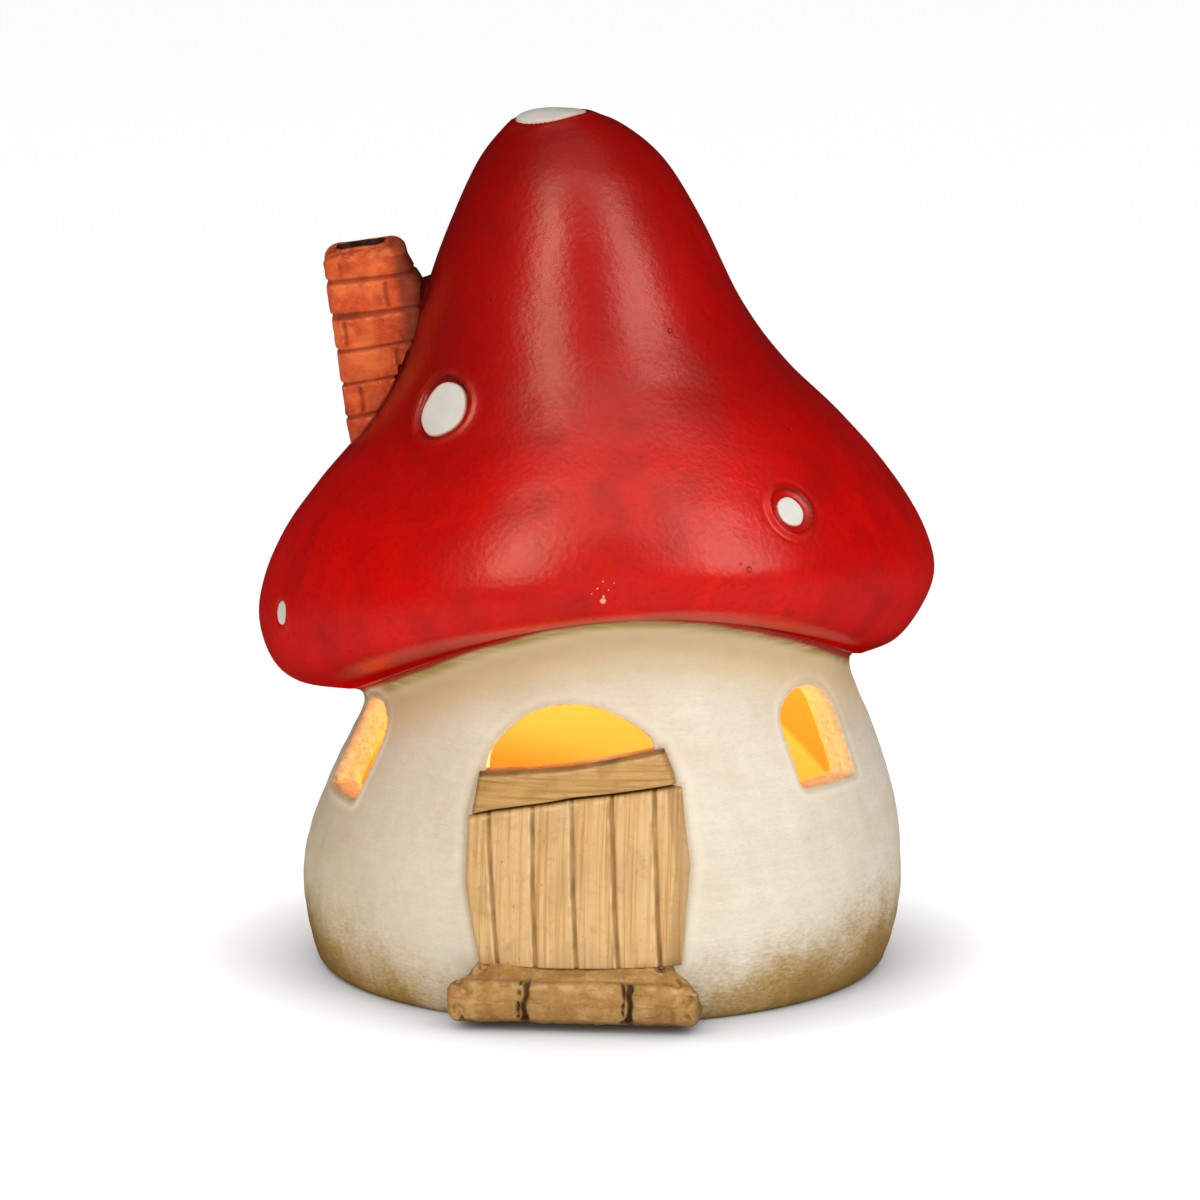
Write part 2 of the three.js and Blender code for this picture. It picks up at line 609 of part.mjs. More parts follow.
const lightPieces = [
  ['tealight_case', lightCase(), 0xf2efe6, 0.4],
  ['tealight_chassis', lightChassis(), 0xe8e6de, 0.5],
  ['tealight_flame', flame(), 0xffc46a, 0.4],
  ['led', ledBulb(), 0xfff0b0, 0.2],
  ['coin_cell', coinCell(), 0xb8bcc0, 0.3, 1],
  ['contact_positive', positiveContact(), 0xc9c3b0, 0.35, 1],
  ['contact_negative', negativeContact(), 0xc9c3b0, 0.35, 1],
  ['battery_cover', batteryCover(), 0xe8e6de, 0.5],
  ['switch_knob', switchKnob(), 0x303030, 0.5],
];
lightPieces.forEach(([name, solid, colour, roughness, metalness]) => {
  place(name, solid, colour, roughness, metalness).position.set(0, 0, FLOOR_TOP + GAP);
});

export default toadstool;
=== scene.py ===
"""Looks of the toadstool house ornament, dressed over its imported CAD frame."""
import math

import bpy
import numpy as np
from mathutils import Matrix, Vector
from mathutils.bvhtree import BVHTree


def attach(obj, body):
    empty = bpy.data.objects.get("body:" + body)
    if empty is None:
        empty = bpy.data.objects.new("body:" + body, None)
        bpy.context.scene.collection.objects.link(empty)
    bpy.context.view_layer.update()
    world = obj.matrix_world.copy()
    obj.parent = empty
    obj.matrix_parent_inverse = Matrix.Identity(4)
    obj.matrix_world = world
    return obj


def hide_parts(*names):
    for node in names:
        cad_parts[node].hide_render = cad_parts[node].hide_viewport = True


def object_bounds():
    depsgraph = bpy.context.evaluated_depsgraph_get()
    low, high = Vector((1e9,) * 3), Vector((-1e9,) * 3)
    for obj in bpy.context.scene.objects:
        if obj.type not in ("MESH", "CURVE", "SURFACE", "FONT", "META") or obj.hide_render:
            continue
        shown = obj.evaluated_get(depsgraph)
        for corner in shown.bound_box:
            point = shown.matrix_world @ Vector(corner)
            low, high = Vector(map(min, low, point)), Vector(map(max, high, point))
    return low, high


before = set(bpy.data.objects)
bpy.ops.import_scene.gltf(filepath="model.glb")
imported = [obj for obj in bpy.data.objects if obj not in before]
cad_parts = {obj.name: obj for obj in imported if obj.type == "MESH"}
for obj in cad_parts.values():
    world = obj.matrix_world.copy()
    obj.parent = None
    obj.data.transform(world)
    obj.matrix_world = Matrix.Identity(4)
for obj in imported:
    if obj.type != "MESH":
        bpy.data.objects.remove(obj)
cad_low, cad_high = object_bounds()
scene = bpy.context.scene

# Shape of the CAD part, in millimetres
MM = 0.001
GAP = 0.3
WALL = 8.5
CAP_WALL = 6.5
CAP_TURN = math.radians(6)
BODY_GUIDE = np.array([
    [0, 74.6, -0.4], [3.4, 76.6, -0.4], [9, 78.2, -0.4], [20, 79.7, -0.15], [31, 79.05, 0.15],
    [41.8, 76.8, 1.2], [52.7, 73.2, 2.2], [63.6, 68.5, 2.9], [74.4, 63.9, 3], [85, 61.2, 3],
    [104, 59.4, 3], [130, 59.4, 3],
])
FLOOR_TOP = 9
FOOT_RADIUS = 66
FOOT_HOLLOW = 1.6
SEAT = (81.8, 81, 72.3, 103.2)
LIP_CLEARANCE = 1.2
LIP_DEPTH = 5
LIP_WIDTH = 4.5
LIP_BEVEL = 0.8
CROWN_TOP = 227.3
# Rows of the cap: axis shift, reach and height toward right, back, left and front
CAP_GUIDE = [
    [-8.2, 7, 7, 7, 7, 226.6, 226.6, 226.6, 226.6],
    [-8.2, 14.6, 14.6, 14.6, 14.6, 222.6, 222.6, 222.6, 222.6],
    [-7.8, 24.6, 24.6, 24.6, 24.6, 213, 213, 213, 213],
    [-6.9, 33.4, 33, 33.4, 33, 197.2, 198, 197.2, 198],
    [-5.4, 42.6, 41.5, 42.6, 41.5, 176.1, 178, 176.1, 178],
    [-3, 52, 49, 49.8, 49, 160.2, 163, 160.2, 164],
    [-1, 65.7, 59, 60.7, 58, 144.3, 148, 144.3, 151],
    [0, 78, 70, 74.6, 68.5, 128.2, 133, 128.2, 138],
    [0, 85.6, 79, 85.3, 77.5, 114.5, 117, 112.2, 125],
    [0, 87.7, 83.5, 90.6, 81.2, 104, 104, 95, 115.4],
    [0, 83.6, 81.6, 87.8, 79.6, 93.8, 91.5, 81.6, 108],
    [0, 76, 76, 80.5, 74, 86.4, 84.2, 74.6, 104.6],
]
UNDERSIDE_REACH = (65.4, 67, 70.5, 64)
# Spots: direction from the door, height, disc radius, groove radius, disc level, groove level, lip height
SPOTS = [
    ("spot_left_front", -41, 153.5, 7.7, 9.4, -0.35, -1.2, 0.3),
    ("spot_right_front", 45.5, 130.5, 4, 6.6, -0.2, -0.75, 0.5),
    ("spot_far_left", -64, 98.6, 3.1, 4.3, -0.1, -0.35, 0.15),
    ("spot_back_left", -142, 132, 6.2, 7.8, -0.3, -1.0, 0.3),
    ("spot_back", 178, 168, 7, 8.8, -0.35, -1.1, 0.3),
    ("spot_back_right", 128, 118, 5, 6.8, -0.25, -0.9, 0.35),
    ("spot_crown", -74, 226.3, 9.2, 10.4, 0.05, -0.3, 0.0),
]
CROWN_SPOT = (-13.4, -2.3)
# Small flaws of the glaze: direction from the door, height, radius
CHIPS = [(6, 111.2, 0.75), (6.1, 112.4, 0.35), (5, 114.6, 0.24), (7, 114.2, 0.2), (6, 116.4, 0.22),
         (4, 113.2, 0.17), (8, 116, 0.17)]
PITS = [(36, 173.5, 0.6), (33, 118, 0.65), (31.5, 119.5, 0.35), (-30, 181, 0.35), (58, 148, 0.4)]
CHIMNEY = {"width": 22, "depth": 20, "top": 191.3, "height": 66, "x": -62.9, "y": 3,
           "lean": math.radians(8)}
FLUE = {"width": 11.4, "depth": 9, "deep": 18, "x": -0.8, "y": 1}
WEB_REACH = -60
COURSE = 8.9
COURSE_JOINTS = (-6.7, 4.9, -7.9, 5.4, -6, 4)
PLANK_LINES = [((-22, 54), (-18.7, 17)), ((-10.6, 57), (-8.8, 17)), ((-0.4, 59), (1.7, 17)),
               ((9.7, 61), (12.3, 17)), ((20.3, 63), (22.8, 17))]
DOORWAY = [(-23.8, 17.4), (28, 17.9), (29.9, 42), (26.8, 61.2), (25.6, 61.8), (24.8, 64.5), (22, 70.2),
           (-1, 66.2), (-25, 63.2), (-27.6, 53), (-27.6, 36)]
ARCH = [(-23.4, 60), (19.4, 66), (19.3, 71.3), (17.8, 73.3), (12.7, 76.7), (5.7, 79.8), (-1.2, 80.6),
        (-8, 79.6), (-13.3, 77.3), (-18.4, 73), (-21.9, 69), (-23.5, 65.6)]
# Outer face and hidden back of the slabs, and the doorway's floor, from the curved front of the wall
PLANK_FACE, PLANK_BACK = 1.9, -5.0
BOARD_FACE, BOARD_BACK = 2.7, -4.0
DOORWAY_FLOOR = -4.6
STEP_SECTION = [(-60, 2.2), (-80.5, 1.4), (-84.6, 3.6), (-86.3, 8), (-86, 11.6), (-84.2, 13.8), (-79, 16.9),
                (-60, 16.9)]
STEP_ENDS = (-31, 33)
STEP_FRONT = -86.15
STEP_JOINTS = (-11.4, 15)
WINDOWS = [(60, 56.6, 80.6, 23.6), (-66.2, 49.2, 72.9, 23.6)]
LIGHT_BASE = FLOOR_TOP + GAP
# Modelling: rays start this far off the glaze, the discs of the spots lie this much lower, the finished
# cap keeps this far inside the CAD part's box, and the wall is remeshed at this size
OFF_GLAZE = 12
SPOT_SINK = 0.25
BOX_MARGIN = 0.1
VOXEL = 0.85


# Shape helpers
def around(values, angle):
    """Blend of four values given toward right, back, left and front."""
    right, back, left, front = values
    return ((right + back + left + front) / 4 + (right - left) / 2 * np.cos(angle)
            + (back - front) / 2 * np.sin(angle) + (right - back + left - front) / 4 * np.cos(2 * angle))


def hermite(a, b, leave, arrive, t):
    """Smooth value from a to b, with the slopes that it leaves and arrives with."""
    return (a * (2 * t**3 - 3 * t**2 + 1) + b * (3 * t**2 - 2 * t**3)
            + (leave * (t**3 - 2 * t**2 + t) + arrive * (t**3 - t**2)))


def rotated(x, y, angle):
    c, s = math.cos(angle), math.sin(angle)
    return x * c - y * s, x * s + y * c


def circle(count):
    return np.linspace(0, 2 * math.pi, count, endpoint=False)


def polar(angle, reach, z, x=0.0, y=0.0):
    """Points at a reach from the upright line through x, y."""
    return np.stack([x + reach * np.cos(angle), y + reach * np.sin(angle), z + 0 * angle], -1)


def unit(vector):
    return vector / np.maximum(np.linalg.norm(vector, axis=-1, keepdims=True), 1e-9)


def distance_along(points):
    """How far each point of a line lies from its start, measured along it."""
    return np.concatenate([[0], np.cumsum(np.linalg.norm(np.diff(points, axis=0), axis=1))])


def resampled(line, run, at):
    """Points of a flat line at other distances along it."""
    return np.stack([np.interp(at, run, line[:, i]) for i in (0, 1)], -1)


def along(table, at, column):
    """Smooth value from a table whose first column is the position."""
    at = np.asarray(at, float)
    i = np.clip(np.searchsorted(table[:, 0], at, side="right") - 1, 0, len(table) - 2)
    before = np.maximum(np.arange(len(table)) - 1, 0)
    after = np.minimum(np.arange(len(table)) + 1, len(table) - 1)
    slope = (table[after, column] - table[before, column]) / (table[after, 0] - table[before, 0])
    span = table[i + 1, 0] - table[i, 0]
    t = np.clip((at - table[i, 0]) / span, 0, 1)
    return hermite(table[i, column], table[i + 1, column], slope[i] * span, slope[i + 1] * span, t)


def fade(low, high, value):
    """0 below low, 1 above high, smooth between; falls instead when low is above high."""
    t = np.clip((value - low) / (high - low), 0, 1)
    return t * t * (3 - 2 * t)


def hump(gap, width, power=2):
    """1 where the gap is 0, falling smoothly on both sides."""
    return np.exp(-(np.abs(gap / width) ** power))


def waves(points, length, seed, stretch=(1, 1, 1)):
    """Soft unevenness between about -1 and 1, with humps about `length` mm across."""
    rng = np.random.default_rng(seed)
    total = np.zeros(points.shape[:-1])
    for _ in range(9):
        direction = rng.normal(size=3)
        direction *= 2 * math.pi / length * rng.uniform(0.5, 1.4) / np.linalg.norm(direction)
        total += np.sin(points @ (direction * np.array(stretch)) + rng.uniform(0, 2 * math.pi))
    return total / 3.4


def seat_at(angle):
    return around(SEAT, angle - CAP_TURN)


def body_point(angle, z, inset=0.0):
    return polar(angle, along(BODY_GUIDE, z, 1) - inset, z, along(BODY_GUIDE, z, 2))


def grid_faces(rows, columns, closed=True):
    """Quads between rows of points; the columns join up when closed."""
    k = np.arange(rows - 1)[:, None]
    j = np.arange(columns if closed else columns - 1)[None, :]
    nxt = (j + 1) % columns
    quads = np.stack([k * columns + j, (k + 1) * columns + j, (k + 1) * columns + nxt, k * columns + nxt], -1)
    return quads.reshape(-1, 4).tolist()


def border_loop(rows, columns):
    """Points round the border of a grid, in order."""
    grid = np.arange(rows * columns).reshape(rows, columns)
    return [*grid[0], *grid[1:, -1], *grid[-1, -2::-1], *grid[-2:0:-1, 0]]


def loft(rings, top=None, bottom=None):
    """Points and faces through rings, from the top pole down the outside."""
    rings = np.asarray(rings, float)
    rows, columns = rings.shape[:2]
    points = rings.reshape(-1, 3)
    faces = grid_faces(rows, columns)
    if top is not None:
        a, b = len(points), len(points) + 1
        points = np.vstack([points, top, bottom])
        last = (rows - 1) * columns
        for j in range(columns):
            n = (j + 1) % columns
            faces.append((a, j, n))
            faces.append((b, last + n, last + j))
    return points, faces


def paint(mesh, masks):
    """Keep masks of 0 to 1 with the points, for the finish to read."""
    for key, values in masks.items():
        layer = mesh.attributes.new(key, "FLOAT", "POINT")
        layer.data.foreach_set("value", np.clip(values, 0, 1).astype(np.float32))


def put(name, data):
    obj = bpy.data.objects.new(name, data)
    scene.collection.objects.link(obj)
    return obj


def make(name, points, faces, material=None, masks=()):
    mesh = bpy.data.meshes.new(name)
    mesh.from_pydata((np.asarray(points) * MM).tolist(), [], faces)
    mesh.update()
    mesh.shade_smooth()
    paint(mesh, dict(masks))
    if material is not None:
        mesh.materials.append(material)
    return put(name, mesh)


def dress(obj, body, slot_name, *nodes):
    """The piece rides on a body and stands for these CAD nodes, which it hides."""
    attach(obj, body)
    if nodes:
        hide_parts(*nodes)
    return obj


def outline_distance(outline, u, v):
    """Distance to a closed outline, negative inside it."""
    outline = np.asarray(outline, float)
    nearest = np.full(np.shape(u), 1e9)
    inside = np.zeros(np.shape(u), bool)
    for (x1, y1), (x2, y2) in zip(outline, np.roll(outline, -1, axis=0)):
        dx, dy = x2 - x1, y2 - y1
        t = np.clip(((u - x1) * dx + (v - y1) * dy) / (dx * dx + dy * dy), 0, 1)
        nearest = np.minimum(nearest, np.hypot(u - x1 - t * dx, v - y1 - t * dy))
        if y1 != y2:
            inside ^= ((y1 > v) != (y2 > v)) & (u < (x2 - x1) * (v - y1) / (y2 - y1) + x1)
    return np.where(inside, -nearest, nearest)


# Finishes
def srgb(*shade):
    """Linear values of a colour given as 0 to 255."""
    shares = [c / 255 for c in shade]
    return tuple(c / 12.92 if c <= 0.04045 else ((c + 0.055) / 1.055) ** 2.4 for c in shares)


def feed(tree, socket, value):
    if isinstance(value, bpy.types.NodeSocket):
        tree.links.new(value, socket)
    elif socket.type == "RGBA":
        socket.default_value = (*srgb(*value), 1)
    else:
        socket.default_value = value


def add_node(tree, kind, output, inputs=(), **settings):
    """Output of a new node, with its inputs fed and its settings made."""
    made = tree.nodes.new("ShaderNode" + kind)
    for key, value in settings.items():
        setattr(made, key, value)
    for key, value in dict(inputs).items():
        feed(tree, made.inputs[key], value)
    return made.outputs[output]


class Finish:
    """A procedural material, from the object's own coordinates and its painted masks.

    Colours are given as 0 to 255. Coats of colour and layers of relief go over what is there already.
    """

    def __init__(self, name):
        self.material = bpy.data.materials.new(name)
        self.material.use_nodes = True
        self.tree = self.material.node_tree
        self.tree.nodes.clear()
        self.shader = self.tree.nodes.new("ShaderNodeBsdfPrincipled")
        output = self.tree.nodes.new("ShaderNodeOutputMaterial")
        self.tree.links.new(self.shader.outputs[0], output.inputs[0])
        self.place = self.node("TexCoord", "Object")
        self.colour = self.normal = None

    def node(self, kind, output, inputs=(), **settings):
        return add_node(self.tree, kind, output, inputs, **settings)

    def noise(self, scale, detail, rough, stretch=None, twist=0.0):
        place = self.node("Mapping", 0, {"Vector": self.place, "Scale": stretch}) if stretch else self.place
        return self.node("TexNoise", "Fac", {"Vector": place, "Scale": scale, "Detail": detail,
                                             "Roughness": rough, "Distortion": twist})

    def math(self, kind, a, b, c=0.0, clamp=False):
        return self.node("Math", 0, {0: a, 1: b, 2: c}, operation=kind, use_clamp=clamp)

    def times(self, a, b, clamp=False):
        return self.math("MULTIPLY", a, b, clamp=clamp)

    def line(self, value, slope, start, clamp=False):
        """value * slope + start"""
        return self.math("MULTIPLY_ADD", value, slope, start, clamp)

    def band(self, value, low, high):
        """0 below low, 1 above high, smooth between; falls instead when low is above high."""
        ends = (low, high, 0, 1) if low < high else (high, low, 1, 0)
        inputs = dict(zip(("From Min", "From Max", "To Min", "To Max"), ends), Value=value)
        return self.node("MapRange", 0, inputs, interpolation_type="SMOOTHSTEP")

    def mask(self, name):
        return self.node("Attribute", "Fac", attribute_name=name)

    def axis(self, name):
        return self.node("SeparateXYZ", name, {0: self.place})

    def near(self, point, radius):
        """1 close to a point given in millimetres, 0 beyond the radius."""
        centre = tuple(float(c) * MM for c in point)
        away = self.node("VectorMath", "Value", {0: self.place, 1: centre}, operation="DISTANCE")
        return self.band(away, radius * 1.25 * MM, radius * 0.75 * MM)

    def ramp(self, value, *stops):
        made = self.node("ValToRGB", 0, {0: value})
        elements = made.node.color_ramp.elements
        while len(elements) < len(stops):
            elements.new(0.5)
        for element, (position, shade) in zip(elements, stops):
            element.position = position
            element.color = (*srgb(*shade), 1)
        return made

    def mix(self, amount, a, b):
        return self.node("Mix", 2, {0: amount, 6: a, 7: b}, data_type="RGBA")

    def base(self, value, *stops):
        self.colour = self.ramp(value, *stops)

    def coat(self, amount, shade, strength=None):
        """A coat of colour over what is there, where and as strong as said."""
        amount = amount if strength is None else self.times(amount, strength)
        self.colour = self.mix(amount, self.colour, shade)

    def relief(self, height, distance, strength):
        inputs = {"Height": height, "Distance": distance, "Strength": strength}
        if self.normal is not None:
            inputs["Normal"] = self.normal
        self.normal = self.node("Bump", 0, inputs)

    def finish(self, rough, shine=0.5, **more):
        sockets = {"Base Color": self.colour, "Roughness": rough, "Specular IOR Level": shine}
        if self.normal is not None:
            sockets["Normal"] = self.normal
        sockets.update((key.replace("_", " "), value) for key, value in more.items())
        for key, value in sockets.items():
            feed(self.tree, self.shader.inputs[key], value)
        return self.material


def red_glaze(chips, pits):
    f = Finish("red_glaze_paint")
    cloud = f.noise(22, 3, 0.5)
    mottle = f.noise(70, 5, 0.6, (1, 1, 0.6))
    fine = f.noise(640, 5, 0.7)
    z = f.axis("Z")
    low, wash, bare = f.mask("low"), f.mask("wash"), f.mask("bare")
    f.base(cloud, (0.3, (186, 1, 0)), (0.55, (210, 3, 0)), (0.75, (224, 6, 1)))
    f.coat(f.band(mottle, 0.48, 0.7), (140, 2, 1), 0.42)
    f.coat(f.band(mottle, 0.46, 0.32), (230, 14, 4), 0.35)
    f.coat(f.band(fine, 0.48, 0.68), (146, 5, 2), 0.4)
    # darker on the slope and at the crown, and painted shade on the left side
    dark = f.times(f.band(z, 0.132, 0.162), f.line(cloud, 0.7, 0.14))
    dark = f.line(f.band(z, 0.185, 0.222), 0.14, dark)
    left = f.times(f.band(f.axis("X"), -0.012, -0.05), f.band(z, 0.118, 0.145))
    f.coat(f.line(left, 0.28, dark), (118, 4, 2))
    # painted shade on the brim's lower edge, where it turns under
    f.coat(low, (120, 10, 4), 0.6)
    # paler where rubbed, and a painted highlight on the spots' raised rings
    wear_and_sheen = f.times(f.mask("wear_and_sheen"), f.band(f.noise(240, 5, 0.7, (1, 1, 0.35)), 0.35, 0.75))
    f.coat(wear_and_sheen, (196, 52, 32), 0.4)
    # painted shade in the spots' grooves, on the web and beside the chimney
    f.coat(wash, (50, 6, 4))
    f.coat(bare, f.ramp(f.noise(500, 5, 0.7), (0.35, (196, 158, 122)), (0.65, (226, 196, 162))))
    height = f.times(f.noise(950, 3, 0.5), 0.12)
    # the pits are painted darker as well, as shade in them
    for point, radius in pits:
        pit = f.near(point, radius)
        f.coat(pit, (84, 10, 6), 0.35)
        height = f.line(pit, -1.0, height)
    for point, radius in chips:
        chip = f.near(point, radius)
        f.coat(chip, (232, 160, 126))
        height = f.line(chip, -0.4, height)
    f.relief(height, 0.0006, 0.8)
    f.relief(f.node("TexVoronoi", "Distance", {"Vector": f.place, "Scale": 520}), 0.00007, 0.6)
    f.relief(f.noise(160, 4, 0.5), 0.0003, 0.16)
    rough = f.line(bare, 0.4, f.line(wear_and_sheen, 0.1, f.line(mottle, 0.16, 0.24)))
    dull = f.line(bare, 0.6, f.math("MAXIMUM", low, f.times(wash, 0.7)))
    return f.finish(rough, f.line(dull, -0.5, 0.5, True), Specular_Tint=(255, 238.6, 220.6))


def cream_clay():
    f = Finish("cream_clay_paint")
    streak = f.noise(260, 6, 0.68, (0.35, 0.35, 1.9), 0.3)
    cloud = f.noise(34, 4, 0.6)
    cut = f.mask("bare")
    f.base(streak, (0.3, (220, 209, 186)), (0.5, (227, 218, 200)), (0.7, (233, 227, 214)))
    f.coat(0.45, f.ramp(cloud, (0.34, (212, 197, 168)), (0.66, (235, 229, 216))))
    scratch = f.times(f.band(f.noise(420, 5, 0.7, (0.35, 0.35, 2.6)), 0.58, 0.7), 0.4)
    f.coat(scratch, (204, 170, 122), f.band(cloud, 0.56, 0.42))
    # painted shade: the left side darker and yellower
    f.coat(f.band(f.axis("X"), -0.015, -0.085), (196, 164, 104), 0.4)
    f.coat(f.band(f.noise(1300, 4, 0.75, (0.5, 0.5, 1.3)), 0.46, 0.64), (196, 178, 142), 0.2)
    # sponged dirt at the foot, up to a ragged line
    line = f.line(f.math("SUBTRACT", f.noise(55, 4, 0.6), 0.5), -0.03, f.axis("Z"))
    line = f.line(f.math("SUBTRACT", f.noise(900, 6, 0.8, (0.6, 0.6, 1.5)), 0.5), -0.028, line)
    line = f.line(f.mask("dirt"), -0.022, line)
    f.coat(f.band(line, 0.012, -0.012), (166, 128, 54), 0.95)
    f.coat(f.band(line, -0.002, -0.022), (120, 88, 32), 0.75)
    # ochre and olive tones, strongest just under the cap; a darker line round the doorway, and painted shade
    # round the arch and windows
    seat = f.mask("seat")
    f.coat(f.band(seat, 0.0, 0.36), (224, 194, 128), f.line(cloud, 0.5, 0.4))
    f.coat(f.band(seat, 0.3, 0.9), (164, 146, 80), f.band(f.noise(170, 5, 0.6, (0.35, 0.35, 3)), 0.15, 0.6))
    f.coat(f.mask("wash"), (168, 138, 90), 0.6)
    # painted highlight: a paler band round the doorway and openings
    f.coat(f.mask("rim"), (240, 230, 206), 0.4)
    # bare clay where the openings are cut; inside, the tealight's glow is painted on, with a painted shadow
    # line
    f.coat(cut, f.ramp(f.noise(700, 5, 0.75), (0.3, (188, 152, 102)), (0.44, (218, 194, 146)),
                       (0.6, (230, 211, 168)), (0.76, (240, 228, 200))))
    f.coat(f.mask("inside"), f.mix(f.mask("glow_shadow"), (231, 158, 84), (230, 124, 42)))
    f.coat(f.mask("red"), (160, 16, 7))
    f.relief(streak, 0.0003, 0.2)
    f.relief(f.noise(900, 4, 0.6), 0.0001, 0.7)
    f.relief(f.times(f.noise(600, 5, 0.75), cut), 0.0006, 0.8)
    return f.finish(f.line(streak, 0.2, 0.55), 0.35)


def wood_clay(name, light, mid, dark, wash, streaks, stretch):
    """Painted clay combed to look like wood; the grain is stretched along the board."""
    f = Finish(name)
    grain = f.noise(1100, 3, 0.55, stretch)
    broad = f.noise(260, 3, 0.5, stretch, 0.2)
    blotch = f.noise(130, 5, 0.65)
    f.base(grain, (0.34, dark), (0.47, mid), (0.58, light))
    f.coat(f.band(broad, 0.5, 0.7), dark, streaks)
    f.coat(f.band(broad, 0.48, 0.34), light, 0.4)
    f.coat(f.band(blotch, 0.5, 0.66), mid, 0.45)
    f.coat(f.band(f.noise(300, 5, 0.7), 0.5, 0.7), dark, 0.5)
    fleck = f.times(f.band(f.noise(1100, 4, 0.7, (1, 1, 0.5)), 0.6, 0.7), f.band(blotch, 0.45, 0.6))
    f.coat(fleck, wash, 0.6)
    f.coat(f.times(f.mask("wash"), f.line(blotch, 0.8, 0.65), clamp=True), wash)
    # painted highlight along the top edges and beside the grooves
    f.coat(f.mask("rim"), (243, 216, 170), 0.45)
    f.relief(grain, 0.00022, 0.7)
    f.relief(f.noise(1300, 3, 0.6), 0.0001, 0.6)
    return f.finish(f.line(grain, 0.15, 0.6), 0.3)


def step_clay():
    f = Finish("step_clay_paint")
    patch = f.noise(110, 5, 0.65)
    speck = f.noise(1000, 5, 0.7)
    f.base(patch, (0.34, (160, 116, 60)), (0.5, (182, 138, 78)), (0.66, (204, 164, 106)))
    f.coat(f.band(f.noise(700, 4, 0.6, (0.14, 1, 1)), 0.5, 0.66), (136, 92, 42), 0.45)
    f.coat(f.band(speck, 0.54, 0.7), (110, 72, 34), 0.45)
    f.coat(f.band(speck, 0.44, 0.32), (214, 178, 124), 0.35)
    # paler chips, and a painted highlight along the front's top edge
    f.coat(f.mask("rim"), (222, 186, 134), 0.65)
    f.coat(f.times(f.mask("wash"), f.line(patch, 0.8, 0.6), clamp=True), (70, 44, 20))
    f.relief(patch, 0.0008, 0.5)
    f.relief(speck, 0.00025, 0.7)
    return f.finish(0.72, 0.28)


def brick_clay():
    f = Finish("brick_clay_paint")
    patch = f.noise(120, 4, 0.6)
    f.base(patch, (0.34, (164, 48, 16)), (0.5, (202, 74, 28)), (0.66, (222, 104, 50)))
    f.coat(f.band(f.noise(900, 5, 0.7), 0.54, 0.7), (160, 48, 18), 0.3)
    brushed = f.times(f.band(f.noise(500, 5, 0.7, (1, 1, 1.6)), 0.44, 0.62), f.mask("rim"))
    f.coat(brushed, (236, 142, 86), 0.55)
    f.coat(f.mask("wash"), (104, 38, 16), 0.85)
    f.coat(f.mask("red"), (130, 12, 8))
    # painted shade, near black, down the flue and round its mouth
    f.coat(f.mask("soot"), (20, 10, 7))
    f.relief(patch, 0.0004, 0.35)
    f.relief(f.noise(900, 5, 0.65), 0.00014, 0.6)
    return f.finish(0.66, 0.3)


def white_spot():
    f = Finish("white_spot_paint")
    cloud = f.noise(120, 4, 0.6)
    f.base(cloud, (0.3, (214, 212, 204)), (0.7, (230, 228, 221)))
    f.coat(f.mask("wash"), (206, 120, 108))
    f.relief(f.noise(500, 4, 0.6), 0.00012, 0.6)
    return f.finish(f.line(cloud, 0.15, 0.42), 0.4)


def moulded(name, light, dark, roughness, depth=0.00006, **glow):
    """Moulded plastic or rubber with a faint texture and handling marks."""
    f = Finish(name)
    cloud = f.noise(90, 4, 0.6)
    f.base(cloud, (0.3, dark), (0.7, light))
    f.coat(f.band(f.noise(300, 3, 0.6, (1, 1, 0.2)), 0.62, 0.72), dark, 0.2)
    f.relief(f.noise(1400, 3, 0.5), depth, 0.6)
    return f.finish(f.line(cloud, 0.16, roughness), **glow)


def sheet_metal(name, light, dark, roughness):
    f = Finish(name)
    brushed = f.noise(300, 4, 0.6, (0.2, 4, 1))
    f.base(brushed, (0.3, dark), (0.7, light))
    f.coat(f.band(f.noise(180, 4, 0.7), 0.6, 0.75), dark, 0.35)
    f.relief(brushed, 0.00004, 0.5)
    return f.finish(f.line(brushed, 0.2, roughness), Metallic=1.0)


CREAM = cream_clay()
PLANK = wood_clay("plank_clay_paint", (224, 187, 134), (215, 173, 117), (194, 146, 88), (118, 88, 44),
                  0.16, (1, 0.03, 0.022))
BOARD_WOOD = wood_clay("board_clay_paint", (204, 162, 100), (192, 149, 90), (168, 126, 74), (104, 74, 38),
                       0.12, (0.04, 0.05, 1))
STEP = step_clay()
BRICK = brick_clay()
WHITE = white_spot()


# Cap
def cap_row(row, angle):
    reach, z = (around(values, angle - CAP_TURN) for values in (row[1:5], row[5:9]))
    return polar(angle, reach, z, *rotated(row[0], 0, CAP_TURN))


def underside_ring(angle):
    z = seat_at(angle)
    return polar(angle, around(UNDERSIDE_REACH, angle - CAP_TURN), z, along(BODY_GUIDE, z, 2))


